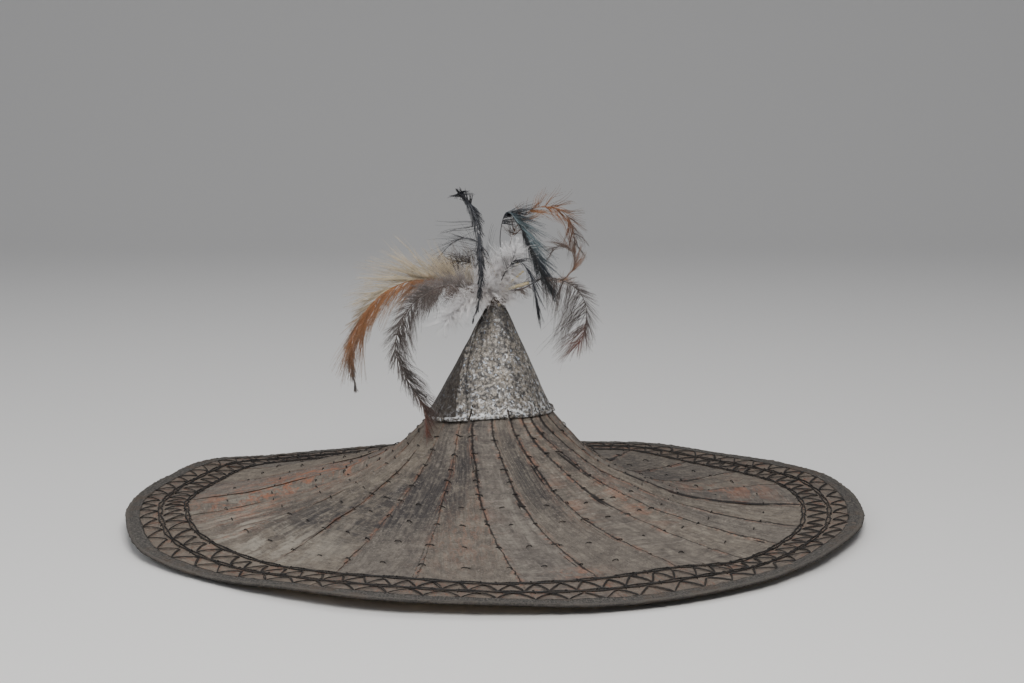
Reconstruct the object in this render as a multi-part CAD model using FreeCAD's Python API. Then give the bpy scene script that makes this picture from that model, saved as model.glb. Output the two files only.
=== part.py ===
"""A wide conical hat of sewn palm-leaf strips with a sheet-metal cap and a feather plume.

Millimetres. +Z is up, +X to the wearer's left, -Y is the front. The origin is under the
middle of the hat, on the surface that its wavy brim rests on.
"""

import FreeCAD
import Part
import math
import os

Vector = FreeCAD.Vector

# Brim and crown
BRIM_RADIUS = 285.0
LEAF_END_RADIUS = 281.0
CROWN_RADIUS = 48.0  # radius of the crown at the lower edge of the metal cap
CROWN_HEIGHT = 73.0  # height of the crown there, above the flat brim
CROWN_FLARE = 64.0  # radius over which the crown falls to 1/e of its height
TIP_RADIUS = 46.0  # inside this the leaves turn up steeply under the cap
TIP_END_RADIUS = 8.0
TIP_CURVE = 0.0196  # how fast the leaf tips steepen, per millimetre

# Waves of the hat: heights above the plain flare, every 15 degrees from +X round by +Y
WAVE_START = 50.0
WAVE_RINGS = (
    (78.0, (-6, -6, -5, -4, -2, 0, 0, 0, 0, 1, 1, 1, 0, 0, 0, 0, 0, 0, 0, 0, 0, 0, -2, -4)),
    (110.0, (-4, -9, -9, -7, -3, 0, 0, 1, 3, 4, 5, 4, 3, 2, 2, 1, 0, 0, 0, 0, 0, 0, 0, -1)),
    (150.0, (-6, -10, -10, -9, -5, -2, 0, 2, 4, 6, 8, 6, 5, 4, 3, 2, 1, 0, 0, 0, 0, -1, -2, -3)),
    (240.0, (-2, -2, -5, -7, -4, -7, -4, -6, -8, -4, 0, 1, 2, 6, 1, -5, -3, 0, -2, -1, 0, -6, -7, -6)),
    (285.0, (1, 4, 1, -3, -3, -6, -3, -7, -7, -4, 4, 5, 4, 4, -2, -5, 0, 1, 0, -3, -3, -2, 0, 0)),
)
# How far the brim reaches out beyond a true circle, at the same angles
REACH = (0, 0, -1, 1, 1, -1, 0, 0, -1, 1, 3, -3, 0, 2, 6, -2, -2, 1, 0, 2, 1, -1, -3, -1)
REACH_START = 150.0
REACH_FULL = 240.0
# The crown leans toward -X: most at the lower edge of the cap, nothing at the top and below
CROWN_LEAN = 3.4
LEAN_RADIUS = 50.0
LEAN_END_RADIUS = 84.0

THREAD_CLEARANCE = 0.1  # between a thread and whatever it lies on

# Leaf layers
LEAF_THICKNESS = 0.8
LINING_TOP = 0.95  # depth of the lining's upper face below the outer leaves' upper face
LINING_THICKNESS = 0.7
LEAF_GAP = 0.2
# Points across one leaf that carry its shape
LEAF_STATIONS = 7
LINING_STATIONS = 19
# Seams of the outer leaves: azimuth at the border and how far the seam swirls on the way up
SWIRL_RADIUS = 100.0
SWIRL_END_RADIUS = 240.0
SEAMS = (
    (-2, 22), (15, 22), (31, 23), (46, 22), (60, 21), (77, 22), (92, 23), (106, 22),
    (122, 21), (136, 22), (151, 23), (167, 22), (183, 22), (198, 22), (213, 23), (228, 22),
    (242, 21), (257, 17), (274, 22), (286.5, 17), (301.5, 14), (317.5, 18), (331, 21), (344, 22),
)
LINING_LEAVES = 8
LINING_SWIRL = -20.0

# Stitching
STITCH_RADII = (57.0, 69.5, 80.5, 91.0, 103.0, 118.0, 141.0, 175.0, 210.0)
HALFWAY_STITCH_RADII = (118.0, 141.0, 175.0, 210.0)
STITCH_LENGTH = 6.0
STITCH_DIAMETER = 0.9
CROWN_HOOP_RADII = (57.0, 69.5, 80.5, 103.0, 118.0)
BRIM_HOOP_RADII = (141.0, 175.0, 210.0)
HOOP_WIDTH = 3.6
HOOP_THICKNESS = 2.0
HOOP_CLEARANCE = 0.1
HOOP_TOP = LINING_TOP + LINING_THICKNESS + HOOP_CLEARANCE
HOOP_UNDERSIDE = 0.6  # width of the rounded underside as a share of the top

# Border
INNER_CORDS = (238.9, 241.2)
MIDDLE_CORDS = (258.5, 260.8)
CORD_DIAMETER = 1.6
CORD_SIDES = 8
INNER_ZIGZAG = (243.6, 256.0, 92)  # inner radius, outer radius, number of points
OUTER_ZIGZAG = (263.2, 273.0, 72)
ZIGZAG_DIAMETER = 1.2
ZIGZAG_END_GAP = 0.75  # gap at the end of a leg, in thread diameters
RIM_HOOP_RADIUS = 1.0
RIM_HOOP_INSET = 1.7
RIM_HOOP_DEPTH = 0.83
BINDING_WIDTH = 11.0
BINDING_THICKNESS = 0.6
FOLD_HALF_OPENING = 0.93  # half the height inside the folded strip
FOLD_HALF_OPENING_AT_HOOP = 1.15
FOLD_SWELL_START = 3.4  # inward from the brim's edge, where the strip begins to pass over the hoop
FOLD_SWELL_END = 0.5
FOLD_NOSE = 0.3

# Metal cap
CAP_BOTTOM = 74.0
CAP_TOP = 158.0
CAP_WALL = 0.7
CAP_TOP_RADIUS = 6.8
CAP_SLOPE = 0.49  # growth of radius per millimetre down
CAP_SKIRT_HEIGHT = 9.0
CAP_SKIRT_FLARE = 1.4
CAP_SLITS = (-150, -111, -74, -41, -5, 32, 68, 105, 142, 178)
CAP_SLIT_WIDTH = 0.8
CAP_SLIT_HEIGHT = 9.0
CAP_LAP_ANGLE = 14.0
CAP_LAP_AZIMUTH = -111.0
CAP_STITCH_TURN = 5.0  # degrees from a slit to its stitch
CAP_STITCH_TOP = 5.5
CAP_STITCH_BOTTOM = 0.6

# Head ring
HEAD_RING_RADIUS = 84.0
HEAD_RING_WALL = 3.0
HEAD_RING_BOTTOM = 3.0
HEAD_RING_HEIGHT = 27.0
HEAD_RING_TIES = 12
TIE_DIAMETER = 1.8
TIE_TOP_GAP = 0.9  # between a tie's end and the lining
TIE_OVERLAP = 9.0  # how far a tie runs down the ring's outside
TIP_BINDING_TURNS = 3
TIP_BINDING_RADIUS = 11.0  # radius of the leaf tips where the first turn goes round them
TIP_BINDING_GAP = 2.2
TIP_BINDING_SPREAD = 0.9  # growth of the turns' radius, each below the last

# Plume
STICK_RADIUS = 2.6
STICK_BOTTOM = 96.0
STICK_TOP = 171.0
QUILL_CIRCLE = 4.6
QUILL_BOTTOM = 153.0
QUILL_FREE = 168.0  # above this the quills leave the binding
QUILL_RADIUS = 0.8
QUILL_PLACES = 14
BINDING_BOTTOM = 159.5
BINDING_TURNS = 4
PLUME_CORD_DIAMETER = 1.8
PLUME_CORD_RADIUS = 6.9
VANE_THICKNESS = 0.9
BARE_SHARE = 0.25  # share of a feather's length that is bare quill
FEATHER_STATIONS = 22
# name, place round the stick, direction across the vane at its root, half width of the vane,
# points of the shaft above the binding
FEATHERS = (
    ("feather_black_right", 0, (0.3, 1.0, 0.0), 5.0,
     ((5, -1, 186), (3, -3, 212), (8, -6, 231), (18, -9, 221), (28, -12, 201), (36, -15, 184),
      (44, -18, 169))),
    ("feather_brown_curl", 1, (0.0, 0.3, 1.0), 3.5,
     ((18, 8, 174), (36, 12, 177), (51, 14, 176), (60, 13, 185), (61, 11, 197), (53, 9, 204), (43, 8, 201))),
    ("feather_orange_right", 3, (1.0, 0.0, 0.0), 5.0,
     ((8, 14, 186), (13, 18, 212), (26, 19, 230), (43, 18, 233), (57, 16, 224), (62, 14, 203))),
    ("feather_brown_short", 4, (0.0, 0.0, 1.0), 6.0,
     ((-5, 14, 181), (-17, 18, 188), (-30, 20, 190), (-41, 20, 183))),
    ("feather_back_black", 5, (1.0, 0.4, 0.0), 7.0,
     ((-4, 20, 190), (-14, 30, 204), (-26, 38, 207), (-40, 45, 198), (-52, 50, 178))),
    ("feather_black_arched", 6, (1.0, 0.0, 0.0), 4.0,
     ((-11, 7, 196), (-14, 8, 224), (-22, 4, 240), (-30, -4, 245), (-24, -13, 243), (-16, -21, 228),
      (-12, -30, 196), (-13, -35, 168), (-18, -38, 150))),
    ("feather_left_orange", 7, (0.0, 0.0, 1.0), 10.0,
     ((-20, -4, 176), (-42, -8, 180), (-64, -11, 179), (-86, -15, 170), (-103, -17, 152), (-113, -19, 128),
      (-109, -20, 95))),
    ("feather_left_brown", 8, (0.0, 0.0, 1.0), 8.0,
     ((-18, -12, 172), (-38, -23, 176), (-60, -33, 167), (-73, -39, 148), (-76, -42, 128), (-67, -45, 106),
      (-55, -47, 84), (-53, -48, 64))),
    ("feather_black_hanging", 11, (1.0, 0.3, 0.0), 4.0,
     ((7, -16, 186), (16, -25, 196), (26, -31, 184), (32, -34, 158))),
    ("feather_brown_droop", 13, (0.0, 0.0, 1.0), 9.0,
     ((20, -8, 172), (38, -14, 181), (56, -18, 177), (66, -21, 167), (69, -23, 154), (66, -25, 137),
      (61, -26, 128))),
)
DOWN = (
    (9, (0.0, 0.0, 1.0), 7.0, ((-13, -17, 169), (-26, -26, 163), (-38, -32, 151))),
    (10, (1.0, 0.0, 0.0), 5.0, ((4, -11, 181), (9, -15, 193), (15, -17, 203))),
)
# bare cut quills: place round the stick and free end
QUILL_STUBS = (
    (12, (25, -11, 177)),
    (2, (17, 12, 190)),
)
QUILL_STUB_RADIUS = 0.8

PARTS = "parts"


# ---- The hat's curved surface ----


def periodic(values, theta):
    """A smooth closed curve through equally spaced values, read at an angle in radians."""
    count = len(values)
    place = (theta / (2 * math.pi) * count) % count
    i = int(place)
    t = place - i
    a, b, c, d = (values[(i + k) % count] for k in (-1, 0, 1, 2))
    return b + 0.5 * t * (c - a + t * (2 * a - 5 * b + 4 * c - d + t * (3 * (b - c) + d - a)))


def eased(share):
    """A share from 0 to 1 with a soft start and end."""
    return share * share * (3 - 2 * share)


def wave(radius, theta):
    """How far the surface lies above the plain flare."""
    low, inner = WAVE_START, 0.0
    for high, heights in WAVE_RINGS:
        outer = periodic(heights, theta)
        if radius <= high:
            return inner + eased(max(0.0, (radius - low) / (high - low))) * (outer - inner)
        last_step = (radius - high) / (high - low) * (outer - inner)
        low, inner = high, outer
    return inner + last_step


def reach(radius, theta):
    """Distance from the hat's axis of a point at a nominal radius."""
    share = min(1.0, max(0.0, (radius - REACH_START) / (REACH_FULL - REACH_START)))
    return radius + eased(share) * periodic(REACH, theta)


def lean(radius):
    """Shift of the crown's surface along X at a radius."""
    if radius < LEAN_RADIUS:
        return -CROWN_LEAN * radius / LEAN_RADIUS
    down = min(1.0, (radius - LEAN_RADIUS) / (LEAN_END_RADIUS - LEAN_RADIUS))
    return CROWN_LEAN * (eased(down) - 1)


def cap_axis(z):
    """Shift of the cap's centre along X at a height above the flat brim."""
    return -CROWN_LEAN * (CAP_TOP - z) / (CAP_TOP - CAP_BOTTOM)


def flare(radius):
    """Height of the plain trumpet shape at a radius."""
    if radius >= TIP_RADIUS:
        return CROWN_HEIGHT * math.exp((CROWN_RADIUS - radius) / CROWN_FLARE)
    edge = CROWN_HEIGHT * math.exp((CROWN_RADIUS - TIP_RADIUS) / CROWN_FLARE)
    inward = TIP_RADIUS - radius
    return edge + inward * edge / CROWN_FLARE + TIP_CURVE * inward**2


def surface_height(radius, theta):
    return flare(radius) + wave(radius, theta)


def surface_point(radius, theta, depth, lift):
    """A point at a depth below the outer leaves' upper face, measured square to it."""
    step = 0.5
    slope = (surface_height(radius + step, theta) - surface_height(radius - step, theta)) / (2 * step)
    length = math.hypot(1.0, slope)
    r = reach(radius, theta) + depth * slope / length
    z = surface_height(radius, theta) - depth / length + lift
    return Vector(r * math.cos(theta) + lean(radius), r * math.sin(theta), z)


def lowest_rim():
    """Height of the lowest point of the rim binding before the hat is set down."""
    sections = binding_section()
    return min(
        surface_point(BRIM_RADIUS + along, math.radians(azimuth), depth, 0.0).z
        for along, depth in sections
        for azimuth in range(0, 360, 1)
    )


# ---- Solids that follow the surface ----


def solid_from(faces, name):
    """One closed solid from faces that meet along their edges."""
    shell = Part.Shell(faces)
    shell.sewShape()
    solid = Part.Solid(Part.Shell(shell.Faces))
    if solid.Volume < 0:
        solid.reverse()
    if not solid.isValid() or not solid.isClosed():
        print("CHECK:", name, "valid", solid.isValid(), "closed", solid.isClosed())
    return solid


def triangle(a, b, c):
    return Part.Face(Part.makePolygon([a, b, c, a]))


def faceted(sections, name):
    """A solid skinned with triangles through a row of four-cornered sections."""
    first, last = sections[0], sections[-1]
    faces = [triangle(first[0], first[1], first[2]), triangle(first[0], first[2], first[3])]
    faces += [triangle(last[0], last[2], last[1]), triangle(last[0], last[3], last[2])]
    for low, high in zip(sections, sections[1:]):
        for k in range(4):
            m = (k + 1) % 4
            faces.append(triangle(low[k], high[k], high[m]))
            faces.append(triangle(low[k], high[m], low[m]))
    return solid_from(faces, name)


def ring(radius, section, lift, name):
    """A closed band round the hat. The section is points of (radial place, depth)."""
    count = 96
    edges = []
    for along, depth in section:
        curve = Part.BSplineCurve()
        points = [
            surface_point(radius + along, 2 * math.pi * k / count, depth, lift) for k in range(count)
        ]
        curve.interpolate(points, PeriodicFlag=True)
        edges.append(curve.toShape())
    faces = [
        Part.makeRuledSurface(edges[k], edges[(k + 1) % len(edges)]) for k in range(len(edges))
    ]
    return solid_from(faces, name)


def polygon_section(centre_depth, radius, sides):
    turn = 2 * math.pi / sides
    return [
        (radius * math.cos(turn * k), centre_depth + radius * math.sin(turn * k)) for k in range(sides)
    ]


def hoop_section():
    """A split cane: flat on top, rounded underneath."""
    half = HOOP_WIDTH / 2
    low = HOOP_TOP + HOOP_THICKNESS
    return [(-half, HOOP_TOP), (half, HOOP_TOP), (half * HOOP_UNDERSIDE, low), (-half * HOOP_UNDERSIDE, low)]


def binding_section():
    """The strip folded over the brim's edge and the hoop in it, as a U that opens inward."""
    flat = FOLD_HALF_OPENING
    upper = [(-BINDING_WIDTH, flat), (-FOLD_SWELL_START, flat)]
    upper += [(-RIM_HOOP_INSET, FOLD_HALF_OPENING_AT_HOOP), (-FOLD_SWELL_END, flat)]
    nose = -FOLD_NOSE
    t = BINDING_THICKNESS
    inside = [(along, RIM_HOOP_DEPTH - away) for along, away in upper]
    inside += [(nose, RIM_HOOP_DEPTH)]
    inside += [(along, RIM_HOOP_DEPTH + away) for along, away in reversed(upper)]
    round_edge = upper[:-1] + [(0.0, flat - 0.4 * t)]
    outside = [(along, RIM_HOOP_DEPTH + away + t) for along, away in round_edge]
    outside += [(nose + t, RIM_HOOP_DEPTH)]
    outside += [(along, RIM_HOOP_DEPTH - away - t) for along, away in reversed(round_edge)]
    return inside + outside


def leaf(radii, edges, top, thickness, across, lift, name):
    """A curved strip between two edge lines, each a function from radius to azimuth."""
    rows = {}
    for depth in (top, top + thickness):
        grid = []
        for radius in radii:
            first, last = (edge(radius) for edge in edges)
            inset = LEAF_GAP / 2 / radius
            first, last = first + inset, last - inset
            grid.append([
                surface_point(radius, first + (last - first) * k / (across - 1), depth, lift)
                for k in range(across)
            ])
        surface = Part.BSplineSurface()
        surface.interpolate(grid)
        rows[depth] = surface.toShape()
    upper, lower = rows[top], rows[top + thickness]
    sides = [
        Part.makeRuledSurface(a, b) for a, b in zip(upper.Edges, lower.Edges)
    ]
    return solid_from([upper, lower] + sides, name)


def leaf_radii():
    """Stations along a leaf, close together where it turns up under the cap."""
    tip = [TIP_END_RADIUS + (TIP_RADIUS - TIP_END_RADIUS) * k / 4 for k in range(4)]
    count = 15
    brim = [
        TIP_RADIUS + (LEAF_END_RADIUS - TIP_RADIUS) * (k / (count - 1)) ** 1.3 for k in range(count)
    ]
    return tip + brim


def swirled(border_azimuth, swirl):
    """A seam line: how its azimuth changes with radius."""
    full = 1 - math.exp((CROWN_RADIUS - SWIRL_END_RADIUS) / SWIRL_RADIUS)

    def azimuth(radius):
        share = (1 - math.exp((CROWN_RADIUS - max(radius, CROWN_RADIUS)) / SWIRL_RADIUS)) / full
        return math.radians(border_azimuth - swirl * (1 - share))

    return azimuth


# ---- Straight pieces ----


def rod(start, end, radius):
    along = end - start
    return Part.makeCylinder(radius, along.Length, start, along)


def zigzag(inner_radius, outer_radius, points, lift):
    """The legs of a zigzag thread. It dives through the leaf at each point."""
    height = -ZIGZAG_DIAMETER / 2 - THREAD_CLEARANCE
    corners = []
    for k in range(2 * points):
        radius = inner_radius if k % 2 else outer_radius
        corners.append(surface_point(radius, math.pi * k / points, height, lift))
    legs = []
    for k, start in enumerate(corners):
        end = corners[(k + 1) % len(corners)]
        inset = (end - start).normalize() * ZIGZAG_DIAMETER * ZIGZAG_END_GAP
        legs.append(rod(start + inset, end - inset, ZIGZAG_DIAMETER / 2))
    return legs


def seam_stitches(lift):
    """Short threads across each seam at every hoop, and halfway between on the brim."""
    solids = []
    for index, (border, swirl) in enumerate(SEAMS):
        seam = swirled(border, swirl)
        after = swirled(*SEAMS[(index + 1) % len(SEAMS)])
        for radius in STITCH_RADII:
            places = [seam(radius)]
            if radius in HALFWAY_STITCH_RADII:
                gap = (after(radius) - seam(radius)) % (2 * math.pi)
                places.append(seam(radius) + gap / 2)
            for theta in places:
                half = STITCH_LENGTH / 2 / radius
                height = -STITCH_DIAMETER / 2 - THREAD_CLEARANCE
                # lifted by the bulge of the leaf between the stitch's two ends
                bulge = radius * (1 - math.cos(half))
                ends = [surface_point(radius, theta + s * half, height - bulge, lift) for s in (-1, 1)]
                solids.append(rod(ends[0], ends[1], STITCH_DIAMETER / 2))
    return solids


# ---- Metal cap ----


def cap_radius(z):
    """Outer radius of the cap at a height above the flat brim."""
    radius = CAP_TOP_RADIUS + (CAP_TOP - z) * CAP_SLOPE
    down = max(0.0, CAP_BOTTOM + CAP_SKIRT_HEIGHT - z) / CAP_SKIRT_HEIGHT
    return radius + CAP_SKIRT_FLARE * down**2


def cap_shell(offset, thickness, turn, azimuth, lift):
    """A stretch of conical sheet, its outer face at an offset from the cap's."""
    heights = [CAP_BOTTOM + CAP_SKIRT_HEIGHT * k / 3 for k in range(4)] + [CAP_TOP]
    outer = [Vector(cap_radius(z) + offset, 0, z + lift) for z in heights]
    inner = [Vector(cap_radius(z) + offset - thickness, 0, z + lift) for z in reversed(heights)]
    face = Part.Face(Part.makePolygon(outer + inner + outer[:1]))
    face.rotate(Vector(0, 0, 0), Vector(0, 0, 1), azimuth)
    return face.revolve(Vector(0, 0, 0), Vector(0, 0, 1), turn)


def metal_cap(lift):
    """One sheet rolled into a cone, with a lapped seam and slits that let the skirt flare."""
    cap = cap_shell(0.0, CAP_WALL, 360, 0.0, lift)
    lap = cap_shell(CAP_WALL, CAP_WALL, CAP_LAP_ANGLE, CAP_LAP_AZIMUTH, lift)
    cap = cap.fuse(lap).removeSplitter()
    for azimuth in CAP_SLITS:
        reach = cap_radius(CAP_BOTTOM) + 4
        slit = Part.makeBox(
            20, CAP_SLIT_WIDTH, CAP_SLIT_HEIGHT + 2,
            Vector(reach - 20, -CAP_SLIT_WIDTH / 2, CAP_BOTTOM - 2 + lift),
        )
        slit.rotate(Vector(0, 0, 0), Vector(0, 0, 1), azimuth)
        cap = cap.cut(slit)
    slant = CROWN_LEAN / (CAP_TOP - CAP_BOTTOM)
    leaning = FreeCAD.Matrix(1, 0, slant, -slant * (CAP_TOP + lift), 0, 1, 0, 0, 0, 0, 1, 0, 0, 0, 0, 1)
    return cap.transformGeometry(leaning).Solids


def cap_stitches(lift):
    """Threads that hold the skirt's tabs down, each beside a slit."""
    solids = []
    for slit in CAP_SLITS:
        azimuth = slit + CAP_STITCH_TURN
        on_lap = 0 <= azimuth - CAP_LAP_AZIMUTH <= CAP_LAP_ANGLE
        gap = STITCH_DIAMETER / 2 + THREAD_CLEARANCE + (CAP_WALL if on_lap else 0.0)
        theta = math.radians(azimuth)
        ends = []
        for z in (CAP_BOTTOM + CAP_STITCH_TOP, CAP_BOTTOM + CAP_STITCH_BOTTOM):
            r = cap_radius(z) + gap
            ends.append(Vector(r * math.cos(theta) + cap_axis(z), r * math.sin(theta), z + lift))
        solids.append(rod(ends[0], ends[1], STITCH_DIAMETER / 2))
    return solids


# ---- Head ring ----


def head_ring(lift):
    outer = Part.makeCylinder(
        HEAD_RING_RADIUS + HEAD_RING_WALL, HEAD_RING_HEIGHT, Vector(0, 0, HEAD_RING_BOTTOM + lift)
    )
    inner = Part.makeCylinder(
        HEAD_RING_RADIUS, HEAD_RING_HEIGHT + 2, Vector(0, 0, HEAD_RING_BOTTOM - 1 + lift)
    )
    return outer.cut(inner)


def head_ring_ties(lift):
    """Cords that hang the head ring from the lining."""
    solids = []
    radius = HEAD_RING_RADIUS + HEAD_RING_WALL + TIE_DIAMETER / 2 + THREAD_CLEARANCE
    depth = LINING_TOP + LINING_THICKNESS + TIE_TOP_GAP
    for k in range(HEAD_RING_TIES):
        theta = 2 * math.pi * (k + 0.5) / HEAD_RING_TIES
        low = Vector(
            radius * math.cos(theta), radius * math.sin(theta),
            HEAD_RING_BOTTOM + HEAD_RING_HEIGHT - TIE_OVERLAP + lift,
        )
        high = Vector(low.x, low.y, surface_point(radius, theta, depth, lift).z)
        solids.append(rod(low, high, TIE_DIAMETER / 2))
    return solids


# ---- Plume ----


def quill_place(place, z):
    """The line of a quill inside the binding."""
    theta = 2 * math.pi * place / QUILL_PLACES
    return Vector(QUILL_CIRCLE * math.cos(theta), QUILL_CIRCLE * math.sin(theta), z)


def smooth_path(points, count):
    """Evenly numbered stations on a smooth line through the points."""
    curve = Part.BSplineCurve()
    curve.interpolate(points)
    low, high = curve.FirstParameter, curve.LastParameter
    stations = []
    for k in range(count):
        u = low + (high - low) * k / (count - 1)
        tangent = Vector(*curve.tangent(u)[0]).normalize()
        stations.append((curve.value(u), tangent))
    return stations


def vane_width(share, half_width):
    """Half width of a feather at a share of its length: bare quill, vane, pointed tip."""
    if share <= BARE_SHARE:
        return QUILL_RADIUS
    t = (share - BARE_SHARE) / (1 - BARE_SHARE)
    return QUILL_RADIUS + (half_width - QUILL_RADIUS) * math.sin(math.pi * t**0.8)


def feather(place, across, half_width, points, lift):
    """A thin blade along the shaft, lens-shaped across, from a quill held in the binding."""
    drop = Vector(0, 0, lift)
    line = [quill_place(place, QUILL_BOTTOM), quill_place(place, QUILL_FREE)]
    line = [p + drop for p in line + [Vector(*p) for p in points]]
    across = Vector(*across)
    sections = []
    for k, (centre, tangent) in enumerate(smooth_path(line, FEATHER_STATIONS)):
        across = (across - tangent * across.dot(tangent)).normalize()
        normal = across.cross(tangent).normalize()
        width = vane_width(k / (FEATHER_STATIONS - 1), half_width)
        thick = VANE_THICKNESS / 2 if width > QUILL_RADIUS else QUILL_RADIUS
        sections.append([centre + across * width, centre + normal * thick,
                         centre - across * width, centre - normal * thick])
    return faceted(sections, "feather")


def quill_stub(place, end, lift):
    """A bare cut quill: upright in the binding, then leaning out."""
    drop = Vector(0, 0, lift)
    foot, knee = (quill_place(place, z) + drop for z in (QUILL_BOTTOM, QUILL_FREE))
    upright = rod(foot, knee, QUILL_STUB_RADIUS)
    leaning = rod(knee, Vector(*end) + drop, QUILL_STUB_RADIUS)
    joint = Part.makeSphere(QUILL_STUB_RADIUS, knee)
    return upright.fuse([leaning, joint])


def plume_binding(lift):
    """Dark cord wound round the quills, one closed turn on the next."""
    return [
        Part.makeTorus(
            PLUME_CORD_RADIUS, PLUME_CORD_DIAMETER / 2,
            Vector(0, 0, BINDING_BOTTOM + (k + 0.5) * (PLUME_CORD_DIAMETER + 0.05) + lift),
        )
        for k in range(BINDING_TURNS)
    ]


def crown_tip_binding(lift):
    """Cord wound round the leaf tips inside the cap."""
    top = flare(TIP_BINDING_RADIUS) + lift
    radius = TIP_BINDING_RADIUS + TIP_BINDING_GAP
    pitch = TIE_DIAMETER + THREAD_CLEARANCE
    turns = []
    for k in range(TIP_BINDING_TURNS):
        centre = Vector(lean(TIP_BINDING_RADIUS), 0, top - k * pitch)
        turns.append(Part.makeTorus(radius + k * TIP_BINDING_SPREAD, TIE_DIAMETER / 2, centre))
    return turns


def export(name, solids):
    shape = solids[0] if len(solids) == 1 else Part.makeCompound(solids)
    bad = [s for s in shape.Solids if not s.isValid() or s.Volume <= 0]
    if bad or not shape.Solids:
        print("BAD:", name, len(bad), "of", len(shape.Solids))
    shape.exportStep(os.path.join(PARTS, name + ".step"))


def build():
    os.makedirs(PARTS, exist_ok=True)
    lift = -lowest_rim()

    seams = [swirled(border, swirl) for border, swirl in SEAMS]
    for index, seam in enumerate(seams):
        wrap = 360.0 if index + 1 == len(seams) else 0.0
        border, swirl = SEAMS[(index + 1) % len(seams)]
        name = f"leaf_panel_{index + 1:02d}"
        edges = (seam, swirled(border + wrap, swirl))
        export(name, [leaf(leaf_radii(), edges, 0.0, LEAF_THICKNESS, LEAF_STATIONS, lift, name)])

    for index in range(LINING_LEAVES):
        first, last = (360.0 * k / LINING_LEAVES for k in (index, index + 1))
        edges = (swirled(first, LINING_SWIRL), swirled(last, LINING_SWIRL))
        name = f"lining_leaf_{index + 1:02d}"
        export(name, [leaf(leaf_radii(), edges, LINING_TOP, LINING_THICKNESS, LINING_STATIONS, lift, name)])

    export("crown_hoops", [ring(r, hoop_section(), lift, "crown_hoops") for r in CROWN_HOOP_RADII])
    export("brim_hoops", [ring(r, hoop_section(), lift, "brim_hoops") for r in BRIM_HOOP_RADII])
    rim_cane = polygon_section(RIM_HOOP_DEPTH, RIM_HOOP_RADIUS, CORD_SIDES)
    export("rim_hoop", [ring(BRIM_RADIUS - RIM_HOOP_INSET, rim_cane, lift, "rim_hoop")])
    export("rim_binding", [ring(BRIM_RADIUS, binding_section(), lift, "rim_binding")])

    cord = polygon_section(-CORD_DIAMETER / 2 - THREAD_CLEARANCE, CORD_DIAMETER / 2, CORD_SIDES)
    export("border_cords_inner", [ring(r, cord, lift, "border_cords_inner") for r in INNER_CORDS])
    export("border_cords_middle", [ring(r, cord, lift, "border_cords_middle") for r in MIDDLE_CORDS])
    export("border_zigzag_inner", zigzag(*INNER_ZIGZAG, lift))
    export("border_zigzag_outer", zigzag(*OUTER_ZIGZAG, lift))
    export("seam_stitches", seam_stitches(lift))

    export("metal_cap", metal_cap(lift))
    export("cap_stitches", cap_stitches(lift))
    export("head_ring", [head_ring(lift)])
    export("head_ring_ties", head_ring_ties(lift))

    stick = Part.makeCylinder(STICK_RADIUS, STICK_TOP - STICK_BOTTOM, Vector(0, 0, STICK_BOTTOM + lift))
    export("plume_stick", [stick])
    export("plume_binding", plume_binding(lift))
    export("crown_tip_binding", crown_tip_binding(lift))
    for name, place, across, half_width, points in FEATHERS:
        export(name, [feather(place, across, half_width, points, lift)])
    export("down_tufts", [feather(*tuft, lift) for tuft in DOWN])
    export("quill_stubs", [quill_stub(place, end, lift) for place, end in QUILL_STUBS])
    print("lift", round(lift, 3))


build()
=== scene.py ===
import math

import bpy
import numpy as np
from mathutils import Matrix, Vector


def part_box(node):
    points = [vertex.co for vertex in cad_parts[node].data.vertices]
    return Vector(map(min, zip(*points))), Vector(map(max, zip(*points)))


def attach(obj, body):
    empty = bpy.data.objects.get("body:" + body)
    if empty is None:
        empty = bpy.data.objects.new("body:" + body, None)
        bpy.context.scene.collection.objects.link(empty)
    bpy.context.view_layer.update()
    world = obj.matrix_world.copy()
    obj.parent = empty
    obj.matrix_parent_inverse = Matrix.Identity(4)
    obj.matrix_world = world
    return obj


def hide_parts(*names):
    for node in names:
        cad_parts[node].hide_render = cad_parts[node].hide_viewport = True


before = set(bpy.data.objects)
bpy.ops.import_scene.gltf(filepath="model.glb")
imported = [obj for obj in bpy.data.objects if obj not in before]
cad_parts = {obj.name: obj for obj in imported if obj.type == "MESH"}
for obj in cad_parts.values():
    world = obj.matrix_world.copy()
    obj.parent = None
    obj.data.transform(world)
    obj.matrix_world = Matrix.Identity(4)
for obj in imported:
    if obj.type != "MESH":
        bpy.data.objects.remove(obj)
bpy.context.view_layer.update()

MM = 0.001
TAU = 2 * math.pi


# ------------------------------------------------------------------ the hat's curved surface

RIM_LOW, RIM_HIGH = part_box("rim_binding")
RING_LOW, RING_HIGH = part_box("head_ring")
CAP_LOW, CAP_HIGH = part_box("metal_cap")
BINDING_FOLD = 0.3 * MM
BRIM_RADIUS = (RIM_HIGH.x - RIM_LOW.x) / 2 - BINDING_FOLD
CAP_EDGE = 74.0 * MM  # height of the cap's lower edge above the flat brim
LIFT = CAP_LOW.z - CAP_EDGE  # height of the flat brim above the surface the hat lies on
CROWN_RADIUS = 48.0 * MM
CROWN_HEIGHT = 73.0 * MM
CROWN_FLARE = 64.0 * MM
TIP_RADIUS = 46.0 * MM
TIP_END_RADIUS = 8.0 * MM
TIP_CURVE = 0.0196 / MM
LEAF_END_RADIUS = BRIM_RADIUS - 4.0 * MM

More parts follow.
